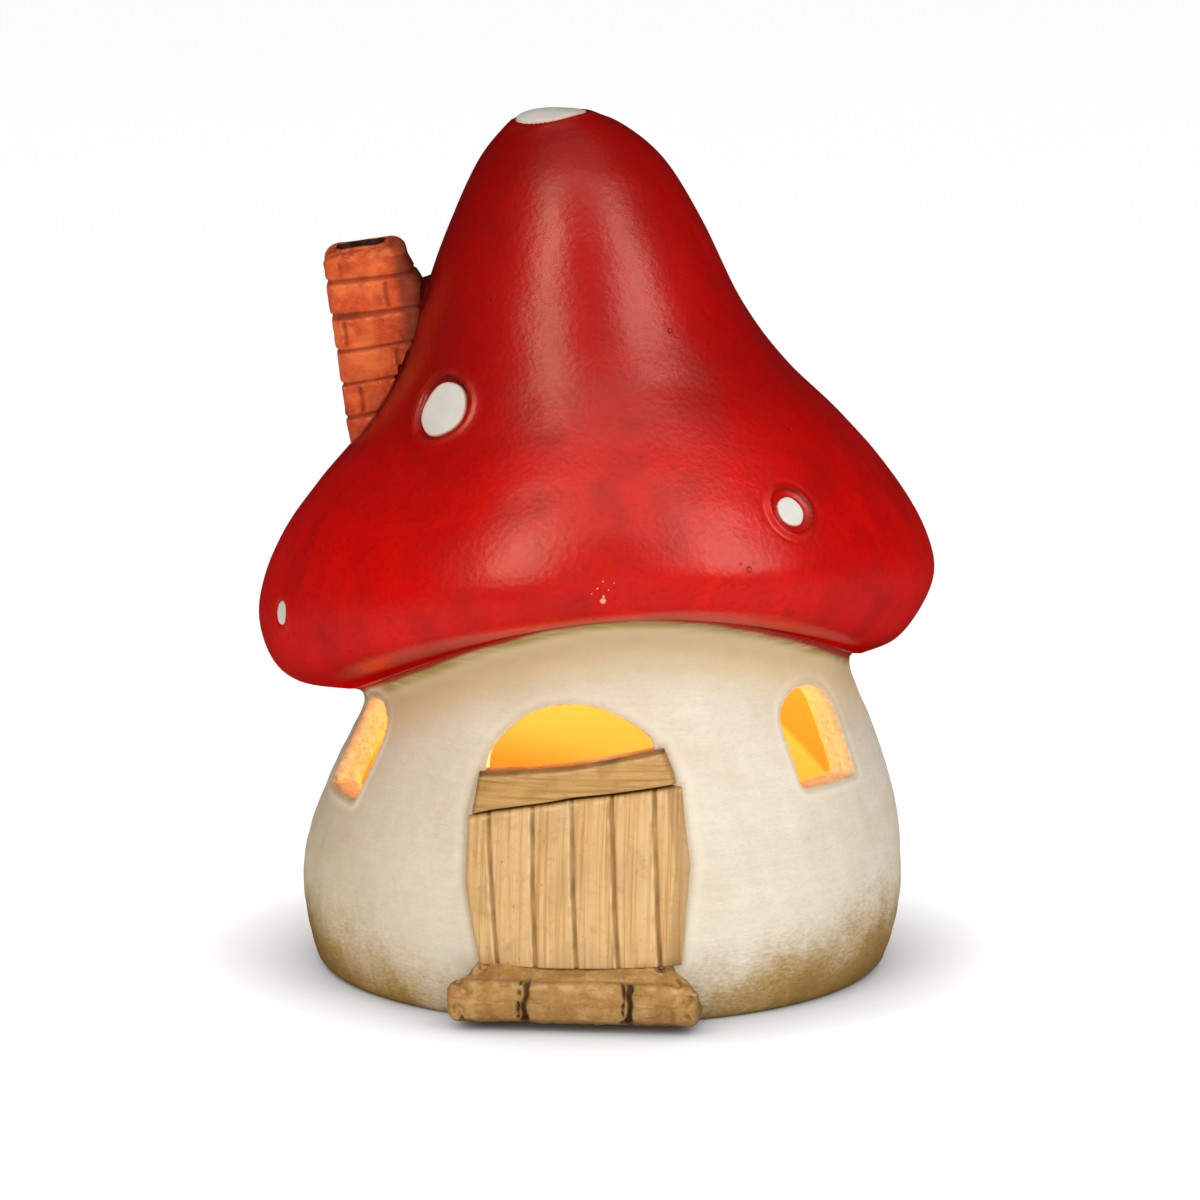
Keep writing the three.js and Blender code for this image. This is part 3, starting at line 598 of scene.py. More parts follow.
def cap_surface(v, angle):
    """Points of the cap from the crown (0) over its guide rows (1 to 12) to the underside ring (13)."""
    crown = cap_row([CAP_GUIDE[0][0], 0, 0, 0, 0] + [CROWN_TOP] * 4, angle)
    rows = [cap_row(CAP_GUIDE[0], angle + math.pi), crown]
    rows += [cap_row(row, angle) for row in CAP_GUIDE]
    rows += [underside_ring(angle), body_point(angle, seat_at(angle))]
    rows = np.array(rows)
    k = np.clip(np.floor(v).astype(int), 0, len(CAP_GUIDE))
    t = (v - k)[:, None, None]
    before, a, b, after = rows[k], rows[k + 1], rows[k + 2], rows[k + 3]
    surface = hermite(a, b, (b - before) / 2, (after - a) / 2, t)
    # the crown is a little flat on top and full on its left
    x, y, z = np.moveaxis(surface, -1, 0)
    full = 2.2 * np.exp(-((x + 25) ** 2 + (y + 3) ** 2) / 80) - 1.1 * np.exp(-((x + 4) ** 2 + y**2) / 130)
    z += full * fade(195, 215, z)
    return surface


def grid_normals(points):
    """Outward unit normals of a closed grid from the crown down."""
    down = np.gradient(points, axis=0)
    turn = np.roll(points, -1, axis=1) - np.roll(points, 1, axis=1)
    return unit(np.cross(down, turn))


def spread(length, wide, fine, zones):
    """Positions from 0 to length, closer together inside the zones (middle, half width)."""
    out = [0.0]
    while out[-1] < length:
        near = any(abs((out[-1] - m + length / 2) % length - length / 2) < h for m, h in zones)
        out.append(out[-1] + (fine if near else wide))
    return np.array(out) * length / out[-1]


probe_v = np.linspace(0, 13, 131)
probe = cap_surface(probe_v, circle(144))
arc = np.concatenate([[0], np.cumsum(np.linalg.norm(np.diff(probe, axis=0), axis=-1).mean(1))])
coarse_points, coarse_faces = loft(probe[1:], probe[0, 0], probe[-1].mean(0))
cap_tree = BVHTree.FromPolygons(coarse_points.tolist(), coarse_faces)


def cap_at(direction, height):
    """Point and normal on the cap toward a direction from the door, at a height."""
    angle = math.radians(direction - 90) % (2 * math.pi)
    line = cap_surface(probe_v, np.array([angle]))[:, 0]
    k = int(np.argmax(line[:, 2] < height))
    t = (line[k - 1, 2] - height) / (line[k - 1, 2] - line[k, 2])
    point = line[k - 1] * (1 - t) + line[k] * t
    normal = np.array(cap_tree.find_nearest(point)[1])
    return point, normal, angle, probe_v[k - 1] + (probe_v[k] - probe_v[k - 1]) * t


spot_frames = {spot[0]: cap_at(spot[1], spot[2]) for spot in SPOTS}
crown_hit = cap_tree.ray_cast((*CROWN_SPOT, CROWN_TOP + OFF_GLAZE), (0, 0, -1))
spot_frames["spot_crown"] = (*np.array(crown_hit[:2]), 0.0, 0.0)
angle_zones, arc_zones = [], []
for name, _, _, _, groove, *_ in SPOTS[:-1]:
    point, _, angle, v = spot_frames[name]
    angle_zones.append((angle, (groove + 2.6) / np.hypot(*point[:2])))
    arc_zones.append((float(np.interp(v, probe_v, arc)), groove + 2.2))
angle_zones.append((math.pi + CAP_TURN, 0.22))
arc_zones.append((6.0, 9.0))
cap_angles = spread(2 * math.pi, math.radians(1.5), math.radians(0.5), angle_zones)[:-1]
cap_v = np.interp(spread(arc[-1], 1.6, 0.55, arc_zones), arc, probe_v)[1:]
cap = cap_surface(cap_v, cap_angles)
normals = grid_normals(cap)
push = 0.4 * waves(cap, 52, 3) + 0.05 * waves(cap, 13, 5) - 0.35
push *= fade(0, 4, 13 - cap_v)[:, None] * 0.8 + 0.2
wash = np.zeros(cap.shape[:2])
# paler rubbed wear here and there
wear_and_sheen = 0.14 * fade(0.2, 1, waves(cap, 30, 8))


def tangents(normal):
    side = np.cross([0, 0, 1], normal)
    side = unit(side) if np.linalg.norm(side) > 0.05 else np.array([1.0, 0, 0])
    return side, np.cross(normal, side)


for name, _, height, disc, groove, _, groove_level, lip in SPOTS:
    point, normal, *_ = spot_frames[name]
    side, up = tangents(normal)
    away = cap - point
    x, y, w = away @ side, away @ up, away @ normal
    d = np.hypot(x, y)
    turn = np.arctan2(y, x)
    outer = groove * (1 + 0.035 * np.sin(2 * turn + height) + 0.02 * np.sin(3 * turn + 1))
    near = (np.abs(w) < 7) & (d < groove + 6)
    bed = fade(outer + 0.1, outer - 0.75, d) * groove_level
    bed = bed + fade(disc + 0.3, disc - 0.6, d) * (-1.6 - groove_level)
    ridge = lip * hump(d - outer - 0.55, 0.75)
    if name == "spot_right_front":
        ridge = lip * hump(d - outer, 0.6) - 0.25 * hump(d - outer - 1.6, 0.8)
        bed = fade(outer, disc - 0.5, d) * groove_level + fade(disc + 0.2, disc - 0.5, d) * -1.0
    push = np.where(near, push * fade(outer - 2, outer + 4, d) + bed + ridge, push)
    # painted shade in each spot's groove, deeper on one side, and along the disc's edge
    dark = hump(d - outer + 0.55, 0.5) * 0.85 * (groove_level < -0.5) * (0.6 + 0.4 * np.cos(turn - 0.7))
    dark += 0.35 * hump(d - disc, 0.35)
    wash = np.maximum(wash, np.clip(dark, 0, 1) * near)
    # painted highlight on the raised ring round each spot
    wear_and_sheen = np.maximum(wear_and_sheen, 0.9 * hump(d - outer - 0.7, 0.6) * near)

# the brim rolls round to the seam, fullest at the right
roll = hump(cap_v - 11.9, 0.65)[:, None] * fade(0.2, 0.95, np.cos(cap_angles - CAP_TURN))[None]
push += 1.4 * roll
cap = cap + normals * push[..., None]
for i in (0, 1):
    cap[..., i] = np.clip(cap[..., i], cad_low[i] / MM + BOX_MARGIN, cad_high[i] / MM - BOX_MARGIN)

# Web of clay between the chimney and the crown
tx, ty = rotated(cap[..., 0], cap[..., 1], -CAP_TURN)
z = cap[..., 2]
aside = fade(-7.5, -2.5, ty) * fade(13.5, 8.5, ty)
level = fade(181.6, 178.2, z) * fade(140, 158, z)
pull = aside * level * (tx < -30)
tx = tx + (WEB_REACH - tx) * pull * (tx > WEB_REACH)
cap[..., 0], cap[..., 1] = rotated(tx, ty, CAP_TURN)
# painted shade on the web and on the cap beside and below the chimney
foot = fade(20, 7, np.abs(ty - 3)) * fade(188, 181, z) * fade(128, 150, z) * (tx < -30)
beside = fade(17, 6, np.abs(ty - 3)) * fade(186, 180, z) * fade(146, 168, z) * (tx < -30)
wash = np.max([wash, fade(0.0, 0.05, pull), 0.96 * beside, 0.75 * foot], axis=0)
# painted shade where the brim turns under to the seam
underside_shade = fade(10.9, 12.5, cap_v)[:, None] + 0 * cap_angles[None]

neck = body_point(cap_angles, seat_at(cap_angles))


def lip_ring(inset, rise):
    ring = body_point(cap_angles, seat_at(cap_angles), WALL + LIP_CLEARANCE + inset)
    ring[:, 2] += rise
    return ring


inner_v = np.interp(np.linspace(arc[-1] * 0.985, 3, 60), arc, probe_v)
inner = cap_surface(inner_v, cap_angles)
inner = inner - grid_normals(inner[::-1])[::-1] * CAP_WALL
lip = [(0, 0), (0, -LIP_DEPTH + LIP_BEVEL), (LIP_BEVEL, -LIP_DEPTH), (LIP_WIDTH - LIP_BEVEL, -LIP_DEPTH),
       (LIP_WIDTH, -LIP_DEPTH + LIP_BEVEL), (LIP_WIDTH, CAP_WALL)]
lower = [neck, *(lip_ring(*corner) for corner in lip), underside_ring(cap_angles) + [0, 0, CAP_WALL]]
rings = np.concatenate([cap, lower, inner])
crown_axis = rotated(CAP_GUIDE[0][0], 0, CAP_TURN)
points, faces = loft(rings, [*crown_axis, CROWN_TOP - 1.4], [*crown_axis, CROWN_TOP - CAP_WALL])


def padded(values):
    return np.concatenate([values.ravel(), np.zeros(len(points) - values.size)])


glazed_tree = BVHTree.FromPolygons(points.tolist(), faces)


def on_glaze(direction, height):
    point, normal, *_ = cap_at(direction, height)
    return glazed_tree.ray_cast(point + normal * OFF_GLAZE, -normal)[0]


unglazed = np.ones(len(points))
unglazed[:wash.size + len(cap_angles)] = 0
unglazed[-2] = 0
chips = [(on_glaze(*at), radius) for *at, radius in CHIPS]
pits = [(on_glaze(*at), radius) for *at, radius in PITS]
cap_piece = make("cap_glazed", points, faces, red_glaze(chips, pits), {
    "wash": padded(wash), "wear_and_sheen": padded(wear_and_sheen), "low": padded(underside_shade), "bare": unglazed})
dress(cap_piece, "cap", "red_glaze", "cap_shell")

# Spots, laid on the cap
for name, direction, height, disc, _, level, *_ in SPOTS:
    point, normal, *_ = spot_frames[name]
    side, up = tangents(normal)
    turns = circle(96)
    wobble = 1 + 0.03 * np.sin(2 * turns + height) + 0.015 * np.sin(5 * turns + direction)
    steps = np.array([0.12, 0.3, 0.5, 0.68, 0.82, 0.9, 0.95, 0.98, 1.0, 1.0])
    drop = np.array([0, 0, 0, 0, 0, 0.02, 0.08, 0.2, 0.5, 1.7])
    rings = []
    for s, lower_by in zip(steps, drop):
        ring = []
        for a, w in zip(turns, wobble):
            out = (side * math.cos(a) + up * math.sin(a)) * (disc * s * w)
            hit = cap_tree.ray_cast(point + out + normal * OFF_GLAZE, -normal)[0]
            ring.append(np.array(hit) + normal * (level - lower_by - SPOT_SINK))
        rings.append(ring)
    top = point + normal * (level - SPOT_SINK)
    edge = np.repeat(fade(0.93, 1.0, steps) * 0.7, len(turns))
    spot = make(name + "_painted", *loft(rings, top, point - normal * 2), WHITE,
                {"wash": np.append(edge, [0, 0])})
    dress(spot, "cap", "spot_white", name)


# Chimney
def rounded_rectangle(half_width, half_depth, radius):
    """Points and outward directions round a rounded rectangle, evenly spaced."""
    angles = np.radians([np.linspace(start, start + 90, 24) for start in (-90, 0, 90, 180)])
    facing = np.stack([np.cos(angles), np.sin(angles)], -1)
    centres = np.array([(1, -1), (1, 1), (-1, 1), (-1, -1)]) * [half_width - radius, half_depth - radius]
    loop, facing = (np.vstack([*line, line[0, :1]]) for line in (centres[:, None] + radius * facing, facing))
    run = distance_along(loop)
    at = np.linspace(0, run[-1], COUNT, endpoint=False)
    return resampled(loop, run, at), unit(resampled(facing, run, at))


def stand(local):
    """From the chimney's own upright frame to its leaning place."""
    x, z = rotated(local[..., 0], local[..., 2], CHIMNEY["lean"])
    x, y = rotated(x + CHIMNEY["x"], local[..., 1] + CHIMNEY["y"], CAP_TURN)
    return np.stack([x, y, z + CHIMNEY["top"]], -1)


COUNT = 220
SIDE_ROWS = 200
TOP_ROUND = 3.8
TOP_ROWS = 8
side_ring, side_out = rounded_rectangle(CHIMNEY["width"] / 2, CHIMNEY["depth"] / 2, 4.6)
flue_ring = rounded_rectangle(FLUE["width"] / 2, FLUE["depth"] / 2, 3.2)[0] + [FLUE["x"], FLUE["y"]]
mouth_ring = rounded_rectangle(6.2, 5.8, 3.4)[0] + [FLUE["x"], 0.4]
toward_crown = fade(0.0, 0.6, side_out[:, 0])


def level_ring(plan, z):
    return np.column_stack([plan, np.full(COUNT, z)])


def lumps_of(local):
    return 0.14 * waves(local, 10, 21) + 0.05 * waves(local, 3, 22) - 0.15


def top_ring(part):
    """Ring on the rounded top edge, from the side (0) over to the top (1)."""
    a = part * math.pi / 2
    local = level_ring(side_ring - side_out * TOP_ROUND * (1 - math.cos(a)), TOP_ROUND * (math.sin(a) - 1))
    local[:, :2] += side_out * lumps_of(local)[:, None]
    local[:, 2] += 0.15 * waves(local, 9, 25) - 0.2 + 0.09 * (local[:, 1] - 8) * math.sin(a)
    return local


# rings from the bottom of the flue over the top and down the sides, with their wash and painted shade, rim
# and painted shade in the flue
chimney_rows = [(level_ring(flue_ring, -depth), 0.8, 0, 1) for depth in (FLUE["deep"], 9, 5, 2.6)]
brim_ring = top_ring(1)
for s, wash_and_shade_there, rim_there, soot in ((1, 0.7, 0, 0.9), (0.75, 0.1, 0.8, 0.2), (0.4, 0.1, 0.8, 0)):
    ring = np.column_stack([brim_ring[:, :2] * (1 - s) + mouth_ring * s, brim_ring[:, 2] * (1 - s) - 0.6 * s])
    ring[:, 2] += 0.12 * waves(ring, 5, 27)
    chimney_rows.append((ring, wash_and_shade_there, rim_there, soot))
# over the top, painted shade on the side toward the crown
for part in np.linspace(1, 1 / TOP_ROWS, TOP_ROWS):
    ring = top_ring(part)
    chimney_rows.append((ring, 0.6 * toward_crown + 0.15 * fade(0, 0.8, waves(ring, 5, 24)), 0.8, 0))
first_side = len(chimney_rows)
for z in np.linspace(-TOP_ROUND, -CHIMNEY["height"], SIDE_ROWS):
    local = level_ring(side_ring, z)
    c, t = int(-z // COURSE), (-z / COURSE) % 1
    deep = -z - 0.3 * np.sin(side_ring[:, 0] * 0.15 + c) - 0.15 * np.sin(side_ring[:, 1] * 0.3 + 2 * c)
    line_gap = np.where(-z < COURSE * 0.5, 4.4, deep - np.round(deep / COURSE) * COURSE)
    joint = COURSE_JOINTS[min(c, len(COURSE_JOINTS) - 1)] + 0.4 * math.sin(math.pi * t) * (-1) ** c
    joint_gap = np.where(np.abs(side_out[:, 1]) > 0.7, side_ring[:, 0] - joint, side_ring[:, 1] + joint)
    slot = fade(0.08, 0.2, t) * fade(0.97, 0.85, t) * (0.5 if c == 0 else 1.0)
    groove = np.maximum(hump(line_gap, 0.6, 4), 0.85 * slot * hump(joint_gap, 0.55, 4))
    swell = 3.6 * fade(-4, -15, z) * fade(0.2, 0.95, side_out[:, 0])
    out = lumps_of(local) - 0.5 * groove - 0.08 * hump(line_gap, 1.0, 1) + swell
    local[:, :2] += side_out * out[:, None]
    # painted shade on the side toward the crown
    shade = 0.9 * toward_crown + 0.2 * fade(0.2, 0.9, waves(local, 6, 24))
    edges = hump(line_gap - 1.05, 0.35) + slot * hump(joint_gap + 0.95, 0.3)
    bright = 0.28 + edges * fade(-0.6, 0.3, waves(local, 4, 23)) - groove
    chimney_rows.append((local, np.clip(groove * 0.75 + shade, 0, 1), np.clip(bright, 0, 1), 0))
stack = stand(np.array([row[0] for row in chimney_rows]))
wash_and_shade_rows, rim_rows, flue_shade_rows = (
    np.concatenate([np.broadcast_to(row[k], COUNT) for row in chimney_rows]) for k in (1, 2, 3))
# the stack ends just inside the cap's glaze
down = stand(np.array([0, 0, -1.0])) - stand(np.zeros(3))
reds = np.zeros(stack.shape[:2])
for j in range(COUNT):
    start = stack[first_side, j]
    hit, _, _, distance = cap_tree.ray_cast(start, down)
    if hit is None:
        continue
    reach = (stack[:, j] - start) @ down
    over = np.maximum(reach - distance - 2.2, 0)
    stack[first_side:, j] -= over[first_side:, None] * down
    reds[:, j] = fade(-0.9 + 0.4 * math.sin(j * 0.5), 0.2, reach - distance)
chimney = make("chimney_brick", *loft(stack, stack[0].mean(0), stack[-1].mean(0)), BRICK, {
    "wash": np.append(wash_and_shade_rows, [1, 0]), "rim": np.append(rim_rows, [0, 0]),
    "soot": np.append(flue_shade_rows, [1, 0]), "red": np.append(reds, [0, 1])})
dress(chimney, "cap", "brick_clay", "chimney")


# Door: slabs laid on the curved front of the house
def front_sheet(x, z, offset):
    radius = along(BODY_GUIDE, z, 1) + offset
    return np.stack([x, -np.sqrt(radius**2 - (x - along(BODY_GUIDE, z, 2)) ** 2), z + 0 * x], -1)


def slab_domain(left, right, bottom, top, columns, rows):
    """Grid of x and z between four border lines, given as z, x at the sides and as x, z below and above."""
    u, v = np.meshgrid(np.linspace(0, 1, columns), np.linspace(0, 1, rows))
    x = left[0][1] + (right[0][1] - left[0][1]) * u
    for _ in range(6):
        low, high = (np.interp(x, *zip(*border)) for border in (bottom, top))
        z = low + (high - low) * v
        west, east = (np.interp(z, *zip(*border)) for border in (left, right))
        x = west + (east - west) * u
    return x, z, west, east, low, high


def slab(name, x, z, offset, back, material, masks):
    """A closed slab over the grid, with its sides reaching back into the wall."""
    def grow(values):
        return np.pad(values, 1, mode="edge")

    grid = front_sheet(grow(x), grow(z), np.pad(offset, 1, constant_values=back))[::-1]
    rows, columns = grid.shape[:2]
    slab_points = np.vstack([grid.reshape(-1, 3), front_sheet(x.mean(), z.mean(), back)])
    border = border_loop(rows, columns)
    slab_faces = grid_faces(rows, columns, closed=False)
    slab_faces += [(a, b, rows * columns) for a, b in zip(border, border[1:] + border[:1])]
    masks = {key: np.append(grow(np.clip(value, 0, 1))[::-1], 0) for key, value in masks.items()}
    return make(name, slab_points, slab_faces, material, masks)


def rounded_edge(distance, radius):
    inside = np.clip(distance, 0, radius)
    return radius - np.sqrt(np.maximum(radius**2 - (radius - inside) ** 2, 0))


x, z, west, east, low, high = slab_domain(
    [(17.4, -23.8), (36, -27.5), (52, -27.5)], [(17.9, 28), (42, 29.8), (61.2, 26.9)],
    [(-24, 16.2), (28, 16.6)], [(-27.6, 52.4), (-21, 54.2), (0, 58.1), (26.8, 61.2)], 190, 140)
flat = np.stack([x, 0 * x, z], -1)
relief = 0.2 * waves(flat, 18, 31) + 0.05 * waves(flat, 2.2, 32, (1, 1, 0.14))
relief += 0.03 * waves(flat, 1.1, 33, (1, 1, 0.1))
relief -= rounded_edge(x - west, 1.3) + rounded_edge(high - z, 0.9)
relief -= 0.45 * np.maximum(3.4 - (east - x), 0)
plank_wash = 0.2 * hump(x - west, 0.6) + 0.2 * hump(high - z, 0.6)
plank_wash += 0.3 * fade(3.7, 3.3, east - x) + 0.12 * hump(z - low, 1.6)
plank_wash += 0.12 * fade(0.1, 0.9, waves(flat, 16, 36))
# paler line along the top and beside each groove: painted highlight
plank_rim = 0.8 * hump(high - z - 1.1, 0.4) * fade(0, 0.6, waves(flat, 4, 35))
for i, ((x1, z1), (x2, z2)) in enumerate(PLANK_LINES):
    middle = x1 + (x2 - x1) * (z - z1) / (z2 - z1)
    middle = middle + 0.04 * np.sin(z * 0.25 + i) + 0.03 * np.sin(z * 0.9 + 2 * i)
    gap = x - middle
    deep = 1 + 0.2 * np.sin(z * 0.35 + 1.7 * i)
    relief -= 0.75 * deep * hump(gap, 0.55, 4)
    relief += 0.1 * hump(gap + 0.95, 0.28) + (0.12 if i % 2 else -0.1) * (gap > 0)
    plank_wash += (0.55 + 0.12 * np.sin(z * 0.5 + i)) * hump(gap, 0.58, 4)
    plank_rim = np.maximum(plank_rim, hump(gap + 0.95, 0.3) * fade(-0.8, 0.3, waves(flat, 5, 37 + i)))
planks = slab("door_planks_painted", x, z, PLANK_FACE + np.minimum(relief, 0.25), PLANK_BACK, PLANK,
              {"wash": plank_wash, "rim": plank_rim})
dress(planks, "house", "plank_clay", "door_planks")

x, z, west, east, low, high = slab_domain(
    [(53, -26.5), (63.2, -25)], [(61.8, 25.6), (64.5, 24.9), (70.2, 22.2)],
    [(-26.6, 53.2), (-20.8, 54.9), (0, 58.9), (25.6, 61.9)],
    [(-25, 63.1), (-1, 66.1), (22, 70.1), (24.8, 70.2)], 150, 60)
flat = np.stack([x, 0 * x, z - 0.13 * x], -1)
relief = 0.3 * waves(flat, 16, 41) + 0.04 * waves(flat, 2.4, 42, (0.12, 1, 1))
relief += 0.02 * waves(flat, 1.1, 43, (0.1, 1, 1))
relief -= rounded_edge(x - west, 1.2) + rounded_edge(east - x, 1.2)
relief -= rounded_edge(high - z, 0.9) + rounded_edge(z - low, 0.7)
board_wash = 0.42 * hump(x - west, 0.7) + 0.3 * hump(east - x, 0.7)
board_wash += 0.6 * fade(1.1, 0.5, high - z) + 0.22 * hump(z - low, 0.5)
board_wash += 0.2 * fade(0.3, 1, waves(flat, 8, 44, (0.6, 1, 1)))
board_rim = 0.5 * hump(high - z - 1.3, 0.25) * fade(-0.2, 0.5, waves(flat, 3, 45))
board = slab("cross_board_painted", x, z, BOARD_FACE + np.minimum(relief, 0.35), BOARD_BACK, BOARD_WOOD,
             {"wash": board_wash, "rim": board_rim})
dress(board, "house", "board_clay", "cross_board")

# Doorstep
section = np.array(STEP_SECTION, float)
t = np.linspace(0, len(section) - 1, 110)
k = np.clip(t.astype(int), 0, len(section) - 2)
f = (t - k)[:, None]
before, after = section[np.maximum(k - 1, 0)], section[np.minimum(k + 2, len(section) - 1)]
rounded = hermite(section[k], section[k + 1], (section[k + 1] - before) / 2, (after - section[k]) / 2, f)
curve = 0.3 * rounded + 0.7 * (section[k] * (1 - f) + section[k + 1] * f)
run = distance_along(curve)
even = np.linspace(0, run[-1], 120)
curve = resampled(curve, run, even)
tangent = np.gradient(curve, axis=0)
facing = np.stack([-tangent[:, 1], tangent[:, 0]], -1)
facing = unit(facing * np.sign(((curve - [-70, 9]) * facing).sum(1, keepdims=True)))
step_x = np.linspace(*STEP_ENDS, 190)
end_gap = np.minimum(step_x - STEP_ENDS[0], STEP_ENDS[1] - step_x)
inset = rounded_edge(end_gap, 2.0)
step = np.zeros((len(step_x), len(curve), 3))
narrower = 0.2 * fade(-85.4, -78.5, curve[:, 0]) * (curve[:, 1] > 12)
step[..., 0] = step_x[:, None] * (1 - narrower)[None]
step[..., 1:] = curve[None] - facing[None] * inset[:, None, None]
lumps = 0.22 * waves(step, 16, 51) + 0.12 * waves(step, 3.5, 52) - 0.3
chips = fade(0.1, 0.5, waves(step, 6, 53)) * fade(10, 2, end_gap)[:, None]
lumps -= 1.5 * chips
front_or_top = fade(-76, -79, curve[:, 0]) + fade(14.5, 16, curve[:, 1])
front_or_top = np.clip(front_or_top, 0, 1) * fade(1.0, 3.0, curve[:, 1])
step_wash = np.zeros(step.shape[:2])
for i, joint in enumerate(STEP_JOINTS):
    gap = step_x[:, None] - joint + 0.25 * np.sin(step[..., 2] * 0.35 + i)
    front_only = front_or_top * fade(14.6, 12.8, curve[:, 1])
    ragged = 0.4 * waves(step, 3.2, 58 + i)
    pair = np.maximum(hump(gap - 0.5 + ragged, 0.8, 4),
                      fade(-0.5, 0.4, waves(step, 3, 61 + i)) * hump(gap + 1.1, 0.4, 4))
    lumps -= 1.1 * pair * front_only
    step_wash += (0.95 * pair + 0.2 * hump(gap, 2.4)) * front_only
step_wash += 0.4 * chips * fade(0.1, 0.9, waves(step, 2.5, 56))
step_wash += 0.35 * fade(3.4, 2, step[..., 2]) + 0.3 * fade(1.6, 0, end_gap)[:, None]
step_wash += 0.12 * fade(0.1, 0.9, waves(step, 9, 54))
high = curve[:, 1] > 12
combed = fade(-0.4, 0.6, waves(step, 2.2, 55, (0.12, 1, 1)))
step_wash += 0.08 * fade(-84.9, -84.0, curve[:, 0]) * high * combed
step_wash += 0.3 * hump(curve[:, 0] + 84.2, 0.5) * high
# paler chips, and a painted highlight along the front's top edge
step_rim = hump(curve[:, 1] - 12.6, 0.7) * (curve[:, 0] < -84) * fade(-0.3, 0.5, waves(step, 5, 57))
step_rim += 0.8 * chips * fade(0.2, -0.8, waves(step, 2.5, 56))
step[..., 1:] += facing[None] * lumps[..., None]
wall_line = front_sheet(step[..., 0], np.clip(step[..., 2], 0.5, 30), 0.2)[..., 1]
step[..., 1] = np.maximum(np.minimum(step[..., 1], wall_line + 3), STEP_FRONT)
step[..., 2] = np.maximum(step[..., 2], 0.3)
step_points, step_faces = loft(step, step[0].mean(0), step[-1].mean(0))
step_piece = make("doorstep_painted", step_points, [face[::-1] for face in step_faces], STEP, {
    "wash": np.append(step_wash, [0.5, 0.5]), "rim": np.append(step_rim, [0, 0])})
dress(step_piece, "house", "step_clay", "doorstep")


# House: the hollow body, with its openings cut and its edges softened
def outline_prism(outline, start, end, direction=0.0):
    """Closed prism of an x, z outline pushed along -Y, then turned about the axis."""
    outline = np.asarray(outline, float)
    n = len(outline)
    x, z = np.tile(outline, (2, 1)).T
    x, y = rotated(x, -np.repeat([start, end], n), math.radians(direction))
    prism_faces = [tuple(range(n - 1, -1, -1)), tuple(range(n, 2 * n))]
    prism_faces += [((j + 1) % n, n + (j + 1) % n, n + j, j) for j in range(n)]
    return np.column_stack([x, y, z]), prism_faces


def window_outline(sill, head, width):
    half = width / 2
    spring = head - half * 0.82
    s = np.linspace(0, 1, 15)[1:-1]

    def bend(*points):
        a, b, c, d = np.array(points)
        return [(1 - t) ** 3 * a + 3 * (1 - t) ** 2 * t * b + 3 * (1 - t) * t**2 * c + t**3 * d for t in s]

    right = bend((half, spring), (half, spring + half * 0.5), (half * 0.55, head), (0, head))
    left = bend((0, head), (-half * 0.55, head), (-half, spring + half * 0.5), (-half, spring))
    return [(-half, sill), (half, sill), (half, spring), *right, (0, head), *left, (-half, spring)]


def rounded_outline(outline, radius, count=5, closed=True):
    """Outline with its corners cut to short curves; an open one keeps its two ends."""
    outline = np.asarray(outline, float)
    made = []
    corners = zip(np.roll(outline, 1, axis=0), outline, np.roll(outline, -1, axis=0))
    for k, (before, corner, after) in enumerate(corners):
        into, out = before - corner, after - corner
        r = min(radius, np.linalg.norm(into) * 0.4, np.linalg.norm(out) * 0.4)
        if not closed and k in (0, len(outline) - 1):
            made.append(corner)
            continue
        a, b = corner + unit(into) * r, corner + unit(out) * r
        made += [(1 - t) ** 2 * a + 2 * t * (1 - t) * corner + t**2 * b for t in np.linspace(0, 1, count)]
    return made


def neck_flare(angle, seat_gap):
    """How far the neck turns outward to meet the cap, most of all on the left."""
    fillet = 1 - np.sqrt(np.maximum(1 - (1 - np.clip(seat_gap / 6.5, 0, 1)) ** 2, 0))
    return around((1.8, 3.5, 4.6, 3.8), angle - CAP_TURN) * fillet


FLOOR_EDGE = FLOOR_TOP + 5
turns = circle(220)
seat_line = seat_at(turns) + 2.5
wall_rings = [body_point(turns, FLOOR_TOP, WALL + 6), body_point(turns, FLOOR_TOP + 1.5, WALL + 1.75)]
for part in np.linspace(0, 1, 26):
    wall_rings.append(body_point(turns, FLOOR_EDGE + (seat_line - FLOOR_EDGE) * part, WALL))
for part in 1 - np.linspace(0, 1, 60) ** 1.6:
    z = 1.6 + (seat_line - 1.6) * part
    wall_rings.append(body_point(turns, z, -neck_flare(turns, seat_at(turns) - z)))
wall_rings += [body_point(turns, 0, 0.5), polar(turns, FOOT_RADIUS, 0.0),
               polar(turns, FOOT_RADIUS - FOOT_HOLLOW, FOOT_HOLLOW)]
house = make("house_wall_painted", *loft(wall_rings, [0, 0, FLOOR_TOP], [0, 0, FOOT_HOLLOW]))
cutters = []


def cut_away(target, cutter):
    modifier = target.modifiers.new("cut", "BOOLEAN")
    modifier.operation, modifier.solver, modifier.object = "DIFFERENCE", "EXACT", cutter
    cutters.append(cutter)


windows = [(direction, rounded_outline(window_outline(*opening), 1.5)) for direction, *opening in WINDOWS]
for direction, outline in windows:
    cut_away(house, make("opening", *outline_prism(outline, 35, 105, direction)))
cut_away(house, make("opening", *outline_prism(rounded_outline(ARCH, 1.6), 40, 105)))
